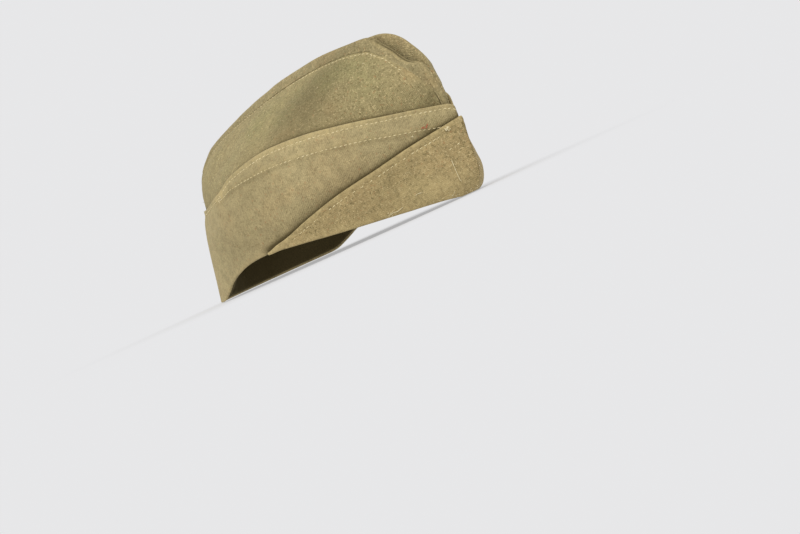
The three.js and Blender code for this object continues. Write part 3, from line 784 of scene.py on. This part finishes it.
def gusset_section(surface, cloth):
    share = np.linspace(0, 1, GUSSET_ROWS)
    place, normal = spine_at(share)
    valley = VALLEY_DEPTH * table(GUSSET, "valley", share)
    lift = table(GUSSET, "lift", share)

    def at(x, depth):
        moved = place - normal * depth[:, None]
        return np.stack([x, moved[:, 0], moved[:, 1]], -1)

    def half(side, column):
        along, z = beside_spine(surface, share, seam_depth(surface, side, share) - SEAM_GAP)
        seam = surface.point(side, along, z)
        band = band_at(side, share)
        rise = table(GUSSET, column, share) * CREST_RISE
        followed = rise * CREST_FOLLOW
        seam_half = np.abs(seam[:, 0])
        crest = np.minimum(CREST_HALF_SPACING, CREST_LIMIT * seam_half)
        shoulder = lerp(crest, seam_half, SHOULDER_ACROSS)
        shoulder_in = np.minimum(SHOULDER_IN * cloth, SHOULDER_IN_LIMIT * (seam_half - crest))
        wall = np.minimum(VALLEY_HALF_WIDTH + cloth, VALLEY_LIMIT * crest)
        sunk = band * (1 - lift) / seam_half
        under_crest = np.minimum(band * SHOULDER_DOWN - followed, lerp(-rise, band, SHOULDER_ACROSS))
        shoulder_depth = np.maximum(under_crest, sunk * shoulder)
        lip_depth = np.maximum(valley * LIP_DOWN - followed, sunk * wall)
        return [
            seam,
            at(side * (shoulder - shoulder_in), shoulder_depth + SHOULDER_CLOTH * cloth),
            at(side * crest, sunk * crest + cloth - rise),
            at(side * lerp(wall, crest, LIP_ACROSS), lip_depth + cloth),
            at(side * wall, valley - VALLEY_HALF_WIDTH + FOOT_CLOTH * cloth),
        ]

    bottom = at(0 * share, valley + cloth)
    points = np.array([*half(-1, "right"), bottom, *half(1, "left")[::-1]])
    rows = spline(points.reshape(len(points), -1), GUSSET_SPLINE_STEPS)
    return np.transpose(rows.reshape(-1, *points.shape[1:]), (1, 0, 2))


# Low relief of the gusset, by shares across it: waves, a rolled seam and a bulge at the front.
GUSSET_WAVES = 0.6
GUSSET_WAVES_FROM = (0.25, 0.5)
GUSSET_SEAM_FADE = 0.2
GUSSET_SEAM_ROLL = 0.3
GUSSET_ROLL_REACH = 0.12
FRONT_BULGE = (1.8, 0.03, 0.055)
FRONT_BULGE_FADE = 0.5

# Marks of the gusset, by shares across and along it: painted shade at the slit and in the valley, a painted
# highlight on the slit's lip, worn crests and a darker patch.
SLIT_EDGE = 0.635
SLIT_EDGE_FADE = 0.04
SLIT_EDGE_SHADE = (0.95, 0.024, -SLIT_EDGE)
SLIT_END = (0.25, 0.34)
SLIT_INNER_SHADE = 0.3
SLIT_INNER_END = (0.2, 0.35)
OPEN_VALLEY = (0.25, 0.9)
VALLEY_SHADE = 0.3
VALLEY_SIDES = (0.06, 0.22)
CREST_WEAR = (0.3, 0.08, 0.6)
SLIT_LIP_HIGHLIGHT = (0.5, 0.03, -0.725)
GUSSET_DARKER_PATCH = (0.22, 0.06, 0.4)
GUSSET_DARKER_PATCH_FROM = (0.1, 0.4)

# Its tone, and the slow change of it: strength, size of the noise and seed.
GUSSET_TONE = 0.2
GUSSET_TONE_CHANGE = (0.3, 22.0, 31)


def top_gusset(name):
    outer = gusset_section(crown_outside, 0)
    inner = gusset_section(Surface(-CLOTH), CLOTH)
    across = np.linspace(-1, 1, outer.shape[1]) * np.ones((len(outer), 1))
    edge = 1 - np.abs(across)
    share = np.linspace(0, 1, GUSSET_ROWS)[:, None]
    roll = GUSSET_SEAM_ROLL * (1 - smooth(edge, 0, GUSSET_ROLL_REACH))
    amount = cloth_relief(outer, GUSSET_WAVES) * smooth(edge, 0, GUSSET_SEAM_FADE) - roll
    amount = amount * smooth(np.abs(across), *GUSSET_WAVES_FROM)
    amount = amount + soft_line(FRONT_BULGE, share) * smooth(edge, 0, FRONT_BULGE_FADE)
    outer, inner, _ = relief(outer, inner, (0, 0, 1), amount)
    # Painted shade at the slit's edge, on its inner face and in the valley, and a painted highlight on the
    # slit's lip.
    is_open = smooth(table(GUSSET, "valley", share), *OPEN_VALLEY)
    slit = is_open * (1 - smooth(share, *SLIT_END))
    inner_face = smooth(across, -SLIT_EDGE, -SLIT_EDGE + SLIT_EDGE_FADE)
    inner_face = inner_face * smooth(-across, *SLIT_INNER_END)
    slit_shade = (soft_line(SLIT_EDGE_SHADE, across) + SLIT_INNER_SHADE * inner_face) * slit
    slit_lip_highlight = soft_line(SLIT_LIP_HIGHLIGHT, across) * slit
    valley_shade = VALLEY_SHADE * is_open * (1 - smooth(np.abs(across), *VALLEY_SIDES))
    darker_patches = soft_line(GUSSET_DARKER_PATCH, share) * smooth(-across, *GUSSET_DARKER_PATCH_FROM)
    wear_and_highlight = soft_line(CREST_WEAR, np.abs(across)) + slit_lip_highlight
    shade = np.minimum(valley_shade + slit_shade + darker_patches, 1)
    change, size, seed = GUSSET_TONE_CHANGE
    tone = change * lattice_noise(outer, size, seed) + GUSSET_TONE
    return shell_object(name, outer, inner, wear_and_highlight, shade, tone)


crown_right, *right_crown = crown_side(-1, "crown_side_right_cloth")
crown_left, *left_crown = crown_side(1, "crown_side_left_cloth")
gusset = top_gusset("top_gusset_cloth")
curtain_right, *right_curtain = curtain(-1, "curtain_right_cloth")
curtain_left, *left_curtain = curtain(1, "curtain_left_cloth")
flap, *flap_cloth = front_flap("front_flap_cloth")

cloth_pieces = (
    (crown_right, "crown_side_right", "crown_wool"),
    (crown_left, "crown_side_left", "crown_wool"),
    (gusset, "top_gusset", "gusset_wool"),
    (curtain_right, "curtain_right", "curtain_wool"),
    (curtain_left, "curtain_left", "curtain_wool"),
    (flap, "front_flap", "flap_wool"),
)
for piece, node, slot in cloth_pieces:
    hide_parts(node)


# Stitches: each is a small rounded bead of thread that lies in its groove.
STITCH_LENGTH = 2.1
STITCH_LENGTH_SHARES = (0.85, 1.1)
STITCH_WIDTH = 0.62
STITCH_HEIGHT = 0.42
STITCH_SIDES = 6
STITCH_STRAY = 0.12
STITCH_LIFT = 0.12
STITCH_SWAY = 0.08
STITCH_SLANT = 0.12
STITCH_DIP = 0.16
STITCH_RINGS = ((-1.0, 0.35), (-0.7, 0.85), (0.0, 1.0), (0.7, 0.85), (1.0, 0.35))


def sample(grid, row, column):
    """Points of a grid at fractional rows and columns."""
    row = np.clip(row, 0, grid.shape[0] - 1.001)
    column = np.clip(column, 0, grid.shape[1] - 1.001)
    r = row.astype(int)
    c = column.astype(int)
    fr = (row - r)[:, None]
    fc = (column - c)[:, None]
    low = lerp(grid[r, c], grid[r, c + 1], fc)
    high = lerp(grid[r + 1, c], grid[r + 1, c + 1], fc)
    return lerp(low, high, fr)


def tube_faces(rings, sides, first=0):
    """Faces of a closed tube: so many rings of so many sides, from a first vertex on."""
    faces = []
    for ring in range(first, first + (rings - 1) * sides, sides):
        for k in range(sides):
            a = ring + k
            b = ring + (k + 1) % sides
            faces.append((a, b, b + sides, a + sides))
    last = first + (rings - 1) * sides
    faces.append(tuple(range(first, first + sides))[::-1])
    faces.append(tuple(range(last, last + sides)))
    return faces


def joined(name, parts):
    """One object made of parts that have their own vertices and faces."""
    vertices = []
    faces = []
    for new_vertices, new_faces in parts:
        base = len(vertices)
        vertices += list(new_vertices)
        faces += [tuple(base + k for k in face) for face in new_faces]
    mesh = bpy.data.meshes.new(name)
    mesh.from_pydata(to_metres(np.array(vertices)).tolist(), [], faces)
    return finished(name, mesh)


def along_line(values, distance, place):
    """The value at a distance along a line of points."""
    return np.array([np.interp(place, distance, values[:, k]) for k in range(3)])


def stitch_row(points, normals, rng, missing):
    """Vertices and faces of the stitches along a line of points on the cloth."""
    gaps = np.linalg.norm(np.diff(points, axis=0), axis=1)
    distance = np.concatenate([[0], np.cumsum(gaps)])
    vertices = []
    faces = []
    turn = np.arange(STITCH_SIDES) * 2 * np.pi / STITCH_SIDES
    for centre in np.arange(STITCH_PITCH / 2, distance[-1], STITCH_PITCH):
        if rng.random() < missing:
            continue
        centre = centre + rng.normal(0, STITCH_STRAY)
        half = STITCH_LENGTH * rng.uniform(*STITCH_LENGTH_SHARES) / 2
        a = along_line(points, distance, centre - half)
        b = along_line(points, distance, centre + half)
        out = unit(along_line(normals, distance, centre))
        axis = unit(b - a)
        across = unit(np.cross(out, axis))
        middle = (a + b) / 2 + out * STITCH_LIFT + across * rng.normal(0, STITCH_SWAY)
        axis = unit(axis + across * rng.normal(STITCH_SLANT, STITCH_SLANT / 2))
        faces += tube_faces(len(STITCH_RINGS), STITCH_SIDES, len(vertices))
        for place, fullness in STITCH_RINGS:
            ring_centre = middle + axis * place * half - out * STITCH_DIP * place * place
            for t in turn:
                sideways = across * math.cos(t) * STITCH_WIDTH / 2 * fullness
                vertices.append(ring_centre + sideways + out * math.sin(t) * STITCH_HEIGHT / 2 * fullness)
    return vertices, faces


def joined_rows(name, rows, seed, missing=0.04):
    rng = np.random.default_rng(seed)
    return joined(name, [stitch_row(*row, rng, missing) for row in rows])


# Stitch rows, and the shares of the cloth's width that they run over.
ROW_SAMPLES = 500
CROWN_ROW_DROP = 1.2
EDGE_ROW_RUN = (0.012, 0.985)
SECOND_ROW_RUN = (0.02, 0.59)
CROWN_ROW_RUN = (0.2, 0.86)
FLAP_ROW_RUNS = ((0.06, 0.37), (0.61, 0.94))


def cloth_row(cloth, share, row_share):
    """Points and normals of a line on the cloth, at shares across it and up it."""
    row = row_share * (cloth[0].shape[0] - 1)
    column = share * (cloth[0].shape[1] - 1)
    return [sample(values, row, column) for values in cloth]


def curtain_row(side, cloth, run, drop_of):
    along = np.linspace(*run, ROW_SAMPLES)
    height = curtain_top(side, along) - curtain_bottom(along)
    return cloth_row(cloth, along, 1 - drop_of(along) / height)


def curtain_rows(side, cloth):
    edge = curtain_row(side, cloth, EDGE_ROW_RUN, lambda along: EDGE_ROW_DROP)
    second = curtain_row(side, cloth, SECOND_ROW_RUN, lambda along: table(SECOND_ROW, "drop", along))
    return [edge, second]


def flap_row(run):
    share = np.linspace(*run, ROW_SAMPLES)
    along = np.abs(share * 2 - 1) * FLAP_END
    return cloth_row(flap_cloth, share, 1 - FLAP_ROW_DROP / (flap_top(along) - rim_height(along)))


def crown_row(cloth):
    share = np.linspace(*CROWN_ROW_RUN, ROW_SAMPLES)
    heights = np.linalg.norm(cloth[0][-1] - cloth[0][0], axis=-1)
    height = np.interp(share * (len(heights) - 1), np.arange(len(heights)), heights)
    return cloth_row(cloth, share, 1 - CROWN_ROW_DROP / height)


stitches = [
    joined_rows("curtain_right_stitches", curtain_rows(-1, right_curtain), 101),
    joined_rows("curtain_left_stitches", curtain_rows(1, left_curtain), 102),
    joined_rows("front_flap_stitches", [flap_row(run) for run in FLAP_ROW_RUNS], 103, 0.24),
    joined_rows("crown_right_stitches", [crown_row(right_crown)], 104),
    joined_rows("crown_left_stitches", [crown_row(left_crown)], 105),
]


# Loose threads, lint and frayed fibres: thin tapered strands that lie on the cloth.
STRAND_SIDES = 5
STRAND_ASIDE = (0.3, 0.5, 0.81)
STRAND_TIP = 0.25
LOWEST_STRAND = 0.4
THREAD_LIFT = 0.3
LAID_STEPS = 6
FIBRE_LIFT = 0.15
FIBRE_RISE = 0.4
FIBRE_CURL = 0.4
FIBRE_POINTS = 6
FIBRE_LENGTH_SHARES = (0.5, 1.0)


def strand(points, radius):
    """Vertices and faces of one tapered strand along a line of points."""
    ahead = unit(np.gradient(points, axis=0))
    across = unit(np.cross(ahead, STRAND_ASIDE))
    other = np.cross(ahead, across)
    taper = np.sqrt(np.sin(np.linspace(STRAND_TIP, math.pi - STRAND_TIP, len(points))))
    turn = np.arange(STRAND_SIDES) * 2 * np.pi / STRAND_SIDES
    rings = [
        p + r * (a * np.cos(turn)[:, None] + b * np.sin(turn)[:, None])
        for p, r, a, b in zip(points, radius * taper, across, other)
    ]
    return np.concatenate(rings), tube_faces(len(points), STRAND_SIDES)


def row_of(z, low, high, rows):
    return (np.asarray(z, float) - low) / (high - low) * (rows - 1)


def flap_place(side, along, z):
    """Fractional row and column of a place on the flap's grid."""
    along = np.asarray(along, float)
    row = row_of(z, rim_height(along), flap_top(along), FLAP_GRID_ROWS)
    return row, (0.5 + side * along) * (FLAP_COLUMNS - 1)


def curtain_place(side, along, z):
    along = np.asarray(along, float)
    row = row_of(z, curtain_bottom(along), curtain_top(side, along), CURTAIN_GRID_ROWS)
    return row, along * (CURTAIN_COLUMNS - 1)


def crown_place(side, along, z):
    """Row and column of the grid point of a crown side that is nearest to a place."""
    _, grid_along, grid_z, _ = crown_grid(crown_outside, side)
    distance = np.hypot((grid_along - along) * CAP_LENGTH, grid_z - z)
    return np.unravel_index(np.argmin(distance), distance.shape)


def laid(cloth, places, lift):
    """A smooth line on the cloth through a few places, lifted a little off it."""
    points, normals = (sample(values, *places) for values in cloth)
    return spline(points + normals * lift, LAID_STEPS)


fibre_rng = np.random.default_rng(211)


def scattered(cloth, centre, count, reach, length, radius):
    """Short curled fibres around a place on the cloth, each with its radius."""
    middle, outward = (sample(values, *(np.atleast_1d(v) for v in centre))[0] for values in cloth)
    lines = []
    for _ in range(count):
        across = unit(np.cross(outward, unit(fibre_rng.normal(0, 1, 3))))
        start = middle + across * fibre_rng.uniform(-reach, reach) + outward * FIBRE_LIFT
        heading = unit(unit(fibre_rng.normal(0, 1, 3)) + outward * FIBRE_RISE)
        curl = unit(np.cross(heading, outward)) * fibre_rng.normal(0, FIBRE_CURL)
        reach_out = length * fibre_rng.uniform(*FIBRE_LENGTH_SHARES)
        t = np.linspace(0, 1, FIBRE_POINTS)[:, None]
        line = start + heading * reach_out * t + curl * reach_out * t * t
        line[:, 2] = np.maximum(line[:, 2], LOWEST_STRAND)
        lines.append((line, radius))
    return lines


def flap_thread(alongs, heights, radius):
    """A loose thread that lies on the flap's right half."""
    return laid(flap_cloth, flap_place(-1, alongs, heights), THREAD_LIFT), radius


# Loose threads on the flap: places along, heights and radius.
pale_strands = [
    flap_thread((0.122, 0.12, 0.113, 0.107), (23.2, 16.6, 10.1, 7.9), 0.32),
    flap_thread((0.125, 0.128, 0.13), (4.6, 2.8, 1.0), 0.22),
    flap_thread((0.24, 0.25, 0.262), (8.4, 7.2, 7.9), 0.3),
    flap_thread((0.2, 0.21, 0.215), (11.6, 12.1, 11.4), 0.22),
]

# The pale tuft near the flap's tip, another on it, its fuzzy rim, and tufts on the rest, each
# with its count, reach, length and radius.
pale_strands += scattered(flap_cloth, flap_place(-1, 0.103, 41.5), 40, 1.5, 1.5, 0.5)
pale_strands += scattered(flap_cloth, flap_place(-1, 0.262, 7.2), 16, 1.1, 2.4, 0.2)
for along in fibre_rng.uniform(0.01, 0.2, 22):
    pale_strands += scattered(flap_cloth, flap_place(-1, along, 0.6), 2, 0.8, 1.5, 0.13)
for spot in ((0.18, 45.6), (0.572, 61.0), (0.576, 59.5)):
    pale_strands += scattered(right_curtain, curtain_place(-1, *spot), 5, 0.7, 1.6, 0.22)
for spot in ((0.242, 99.5), (0.365, 98.3)):
    pale_strands += scattered(right_crown, crown_place(-1, *spot), 4, 0.4, 1.2, 0.24)
for cloth in (right_crown, left_crown, left_curtain):
    for _ in range(7):
        row = fibre_rng.uniform(0.25, 0.85) * cloth[0].shape[0]
        column = fibre_rng.uniform(0.1, 0.9) * cloth[0].shape[1]
        pale_strands += scattered(cloth, (row, column), 1, 0.4, 2.0, 0.14)
red_strands = []
for spot in ((0.142, 48.4), (0.148, 47.6), (0.154, 48.6)):
    red_strands += scattered(right_curtain, curtain_place(-1, *spot), 3, 0.8, 1.5, 0.34)
lint = joined("lint_strands", [strand(*line) for line in pale_strands])
red_lint = joined("red_strands", [strand(*line) for line in red_strands])

# The few stitches of the flap's second row.
second_places = flap_place(-1, (0.12, 0.105, 0.088, 0.068), (28.6, 29.4, 30.2, 30.6))
second_line = laid(flap_cloth, second_places, 0.0)
second_normals = sample(flap_cloth[1], *(np.linspace(v[0], v[-1], len(second_line)) for v in second_places))
stitches.append(joined_rows("front_flap_second_stitches", [(second_line, second_normals)], 106, 0.3))


# Materials.

def node(tree, kind, inputs=None, **settings):
    """A new node, whose inputs are linked or set by name or number."""
    made = tree.nodes.new(kind)
    for key, value in settings.items():
        setattr(made, key, value)
    for key, value in (inputs or {}).items():
        if isinstance(value, bpy.types.NodeSocket):
            tree.links.new(value, made.inputs[key])
        else:
            made.inputs[key].default_value = value
    return made


def object_place(tree):
    return node(tree, "ShaderNodeTexCoord").outputs["Object"]


def attribute(tree, name):
    return node(tree, "ShaderNodeAttribute", attribute_name=name).outputs["Fac"]


def noise(tree, place, scale, detail, roughness=0.6):
    inputs = {"Vector": place, "Scale": scale, "Detail": detail, "Roughness": roughness}
    return node(tree, "ShaderNodeTexNoise", inputs).outputs["Fac"]


def levels(tree, value, low, high, to_low=0.0, to_high=1.0):
    inputs = {"Value": value, "From Min": low, "From Max": high, "To Min": to_low, "To Max": to_high}
    return node(tree, "ShaderNodeMapRange", inputs, interpolation_type="SMOOTHSTEP").outputs["Result"]


def noise_levels(tree, place, look):
    """Noise of a scale and detail, brought to its own levels."""
    scale, detail, *shades = look
    return levels(tree, noise(tree, place, scale, detail), *shades)


def mixed(tree, factor, a, b, blend="MIX"):
    """A mix of two colours, whose sockets are known by their numbers."""
    inputs = {0: factor, 6: a, 7: b}
    return node(tree, "ShaderNodeMix", inputs, data_type="RGBA", blend_type=blend).outputs[2]


def maths(tree, operation, a, b=0.0):
    return node(tree, "ShaderNodeMath", {0: a, 1: b}, operation=operation).outputs["Value"]


def colour(r, g, b):
    """A colour given by its 0 to 255 sRGB values."""
    def linear(v):
        v = v / 255
        return v / 12.92 if v <= 0.04045 else ((v + 0.055) / 1.055) ** 2.4
    return (linear(r), linear(g), linear(b), 1.0)


def new_material(name):
    """A material and its node tree, still empty."""
    material = bpy.data.materials.new(name)
    material.use_nodes = True
    material.node_tree.nodes.clear()
    return material, material.node_tree


def show(tree, surface):
    node(tree, "ShaderNodeOutputMaterial", {"Surface": surface})


TWILL_PITCH = 1.15
RIB_SHARE = 0.12
RIB_SHADES = (0.93, 1.05)
NAP_DEPTH = 0.0008
GREEN = colour(146, 138, 94)
BROWN = colour(170, 143, 99)
PALE = colour(192, 172, 122)
SHADED = colour(84, 73, 44)
TONE_RANGE = 1.2

# Noise of the wool and thread: scale, detail, its range, lowest and highest value made of it.
TONE_PATCHES = (26.0, 3.0, 0.35, 0.65, -0.36, 0.32)
MOTTLE = (150.0, 3.0, 0.3, 0.7, 0.88, 1.12)
FIBRES = (2400.0, 2.0, 0.25, 0.75, 0.76, 1.24)
RIB_SWAY = (420.0, 2.0, 0.0, 1.0, 0.0, 4.0)
WEAR_AND_HIGHLIGHT_PATCHES = (300.0, 2.0, 0.35, 0.65, 0.3, 1.0)
WISPS = (900.0, 2.0, 0.35, 0.65, 0.0, 1.0)

# Noise of the felt's relief: scale, detail and roughness.
FELT = (800.0, 3.0, 0.7)

# Flecks in the wool: scale, detail and roughness of their noise, its range, and their colour.
DARK_FLECKS = (560.0, 2.0, 0.75, 0.5, 0.68, colour(114, 102, 66))
LIGHT_FLECKS = (760.0, 2.0, 0.75, 0.53, 0.7, colour(208, 188, 140))
RUST_FLECKS = (480.0, 1.0, 0.6, 0.64, 0.76, colour(172, 126, 84))
RUST_STRENGTH = 0.4


def mottled(tree, place, cloth, look):
    return mixed(tree, 1.0, cloth, noise_levels(tree, place, look), "MULTIPLY")


def flecked(tree, place, cloth, look, strength):
    scale, detail, roughness, low, high, fleck = look
    share = levels(tree, noise(tree, place, scale, detail, roughness), low, high, 0.0, strength)
    return mixed(tree, share, cloth, fleck)


def wool(name, base, speckle):
    """Heathered olive drab wool: patches, flecks, ribs, felt, a soft sheen, and marks of wear, dirt, painted
    highlights and painted shade.
    """
    material, tree = new_material(name)
    place = object_place(tree)
    tone = maths(tree, "ADD", noise_levels(tree, place, TONE_PATCHES), attribute(tree, "tone"))
    cloth = mixed(tree, levels(tree, tone, 0.0, TONE_RANGE), base, BROWN)
    cloth = mixed(tree, levels(tree, tone, 0.0, -TONE_RANGE), cloth, GREEN)
    cloth = mottled(tree, place, cloth, MOTTLE)
    cloth = flecked(tree, place, cloth, DARK_FLECKS, speckle)
    cloth = flecked(tree, place, cloth, LIGHT_FLECKS, speckle)
    cloth = flecked(tree, place, cloth, RUST_FLECKS, RUST_STRENGTH)
    cloth = mottled(tree, place, cloth, FIBRES)
    phase = maths(tree, "MULTIPLY", attribute(tree, "twill"), 2 * math.pi / TWILL_PITCH)
    rib = maths(tree, "SINE", maths(tree, "ADD", phase, noise_levels(tree, place, RIB_SWAY)))
    cloth = mixed(tree, 1.0, cloth, levels(tree, rib, -1.0, 1.0, *RIB_SHADES), "MULTIPLY")
    # Pale colour from the marks: wear, and painted highlights along edges, a fold's ridge and the slit's lip.
    worn_and_highlit = maths(tree, "MULTIPLY", attribute(tree, "wear_and_highlight"), noise_levels(tree, place, WEAR_AND_HIGHLIGHT_PATCHES))
    cloth = mixed(tree, worn_and_highlit, cloth, PALE)
    cloth = mixed(tree, attribute(tree, "shade"), cloth, SHADED)
    nap = maths(tree, "ADD", noise(tree, place, *FELT), maths(tree, "MULTIPLY", rib, RIB_SHARE))
    bump = node(tree, "ShaderNodeBump", {"Height": nap, "Strength": 0.6, "Distance": NAP_DEPTH})
    shader = node(tree, "ShaderNodeBsdfPrincipled", {
        "Base Color": cloth,
        "Normal": bump.outputs["Normal"],
        "Roughness": 0.92,
        "Specular IOR Level": 0.15,
        "Sheen Weight": 0.18,
        "Sheen Roughness": 0.55,
        "Sheen Tint": colour(225, 212, 170),
    })
    show(tree, shader.outputs["BSDF"])
    return material


def thread(name, pale, dark):
    material, tree = new_material(name)
    wisps = noise_levels(tree, object_place(tree), WISPS)
    shader = node(tree, "ShaderNodeBsdfPrincipled", {
        "Base Color": mixed(tree, wisps, dark, pale),
        "Roughness": 0.7,
        "Specular IOR Level": 0.25,
    })
    show(tree, shader.outputs["BSDF"])
    return material


# Wool of the pieces: slot, colour and how strongly it is flecked.
WOOLS = (
    ("crown_wool", (155, 141, 100), 0.7),
    ("gusset_wool", (150, 137, 99), 0.7),
    ("curtain_wool", (173, 157, 115), 0.42),
    ("flap_wool", (167, 147, 103), 0.75),
)
wools = {name: wool(name, colour(*base), speckle) for name, base, speckle in WOOLS}
for piece, _, slot in cloth_pieces:
    piece.data.materials.append(wools[slot])
stitch_thread = thread("stitch_thread", colour(232, 218, 174), colour(198, 180, 130))
for piece in stitches:
    piece.data.materials.append(stitch_thread)
lint.data.materials.append(thread("lint", colour(226, 214, 176), colour(196, 178, 130)))
red_lint.data.materials.append(thread("red_lint", colour(190, 122, 90), colour(170, 96, 70)))


# Camera: the photograph was taken from the front right, a little above the rim's level. The
# cap is tipped back in it, so the picture is rolled against a level cap.
IMAGE_WIDTH = 800
IMAGE_HEIGHT = 534
SENSOR_WIDTH = 36.0
CAMERA_AZIMUTH = math.radians(47.0)
CAMERA_DISTANCE = 1300.0
CAMERA_HEIGHT = 15.0
CAMERA_ROLL = math.radians(24.3)
PIXELS_PER_MM = 1.53

# The pixel of the cap's rear tip, and how far left of and below a level picture's middle it is.
REAR_TIP_PIXEL = (223.0, 303.0)
REAR_TIP_OFFSET = (153.0, 23.0)


def add_camera():
    focal = PIXELS_PER_MM * CAMERA_DISTANCE
    forward = Vector((math.sin(CAMERA_AZIMUTH), math.cos(CAMERA_AZIMUTH), 0))
    level = Vector((math.cos(CAMERA_AZIMUTH), -math.sin(CAMERA_AZIMUTH), 0))
    upward = Vector((0, 0, 1))
    cos_roll = math.cos(CAMERA_ROLL)
    sin_roll = math.sin(CAMERA_ROLL)
    dx = IMAGE_WIDTH / 2 - REAR_TIP_PIXEL[0]
    dy = REAR_TIP_PIXEL[1] - IMAGE_HEIGHT / 2
    u = dx * cos_roll + dy * sin_roll - REAR_TIP_OFFSET[0]
    v = -dx * sin_roll + dy * cos_roll - REAR_TIP_OFFSET[1]
    aim = (forward + level * (u / focal) + upward * (v / focal)).normalized()
    right = level * cos_roll - upward * sin_roll
    right = (right - aim * right.dot(aim)).normalized()
    top = right.cross(aim)
    place = to_metres(-np.array(forward) * CAMERA_DISTANCE + np.array((0, 0, CAMERA_HEIGHT)))
    data = bpy.data.cameras.new("photo_camera")
    data.sensor_width = SENSOR_WIDTH
    data.lens = focal * SENSOR_WIDTH / IMAGE_WIDTH
    data.clip_start = 0.01
    camera = in_scene("photo_camera", data)
    turn = Matrix((right, top, -aim)).transposed().to_4x4()
    camera.matrix_world = Matrix.Translation(Vector(place)) @ turn
    bpy.context.scene.camera = camera


add_camera()


# A seamless pale floor: half glow near the cap, all glow farther out.
BACKDROP = (0.8, 0.8, 0.81, 1.0)
FLOOR_COLOUR = (0.7, 0.7, 0.705, 1.0)
FLOOR_RADIUS = 6.0
FLOOR_SIDES = 96
FLOOR_DEPTH = 0.0005
GLOW_DISTANCES = (0.1, 0.24)
GLOW_SHARES = (0.5, 1.0)

# The soft key light, to the left of the camera and above it.
KEY_PLACE = (-1.6, -0.9, 1.7)
KEY_SIZE = 1.6
KEY_POWER = 26.0
LIT_PLACE = (0, 0, 0.05)


def add_floor():
    mesh = bpy.data.meshes.new("floor")
    work = bmesh.new()
    bmesh.ops.create_circle(work, cap_ends=True, segments=FLOOR_SIDES, radius=FLOOR_RADIUS)
    work.to_mesh(mesh)
    work.free()
    floor = in_scene("floor", mesh)
    floor.location.z = -FLOOR_DEPTH
    material, tree = new_material("floor")
    distance = node(tree, "ShaderNodeVectorMath", {0: object_place(tree)}, operation="LENGTH")
    far = levels(tree, distance.outputs["Value"], *GLOW_DISTANCES, *GLOW_SHARES)
    diffuse = node(tree, "ShaderNodeBsdfDiffuse", {"Color": FLOOR_COLOUR})
    glow = node(tree, "ShaderNodeEmission", {"Color": BACKDROP})
    shaders = {0: far, 1: diffuse.outputs["BSDF"], 2: glow.outputs["Emission"]}
    show(tree, node(tree, "ShaderNodeMixShader", shaders).outputs["Shader"])
    mesh.materials.append(material)


def add_key_light():
    data = bpy.data.lights.new("key_light", "AREA")
    data.size = KEY_SIZE
    data.energy = KEY_POWER
    light = in_scene("key_light", data)
    light.location = KEY_PLACE
    light.rotation_euler = (Vector(LIT_PLACE) - Vector(KEY_PLACE)).to_track_quat("-Z", "Y").to_euler()


add_floor()
add_key_light()
world = bpy.data.worlds.new("studio")
world.use_nodes = True
world.node_tree.nodes["Background"].inputs["Color"].default_value = BACKDROP
bpy.context.scene.world = world
bpy.context.scene.view_settings.view_transform = "Standard"
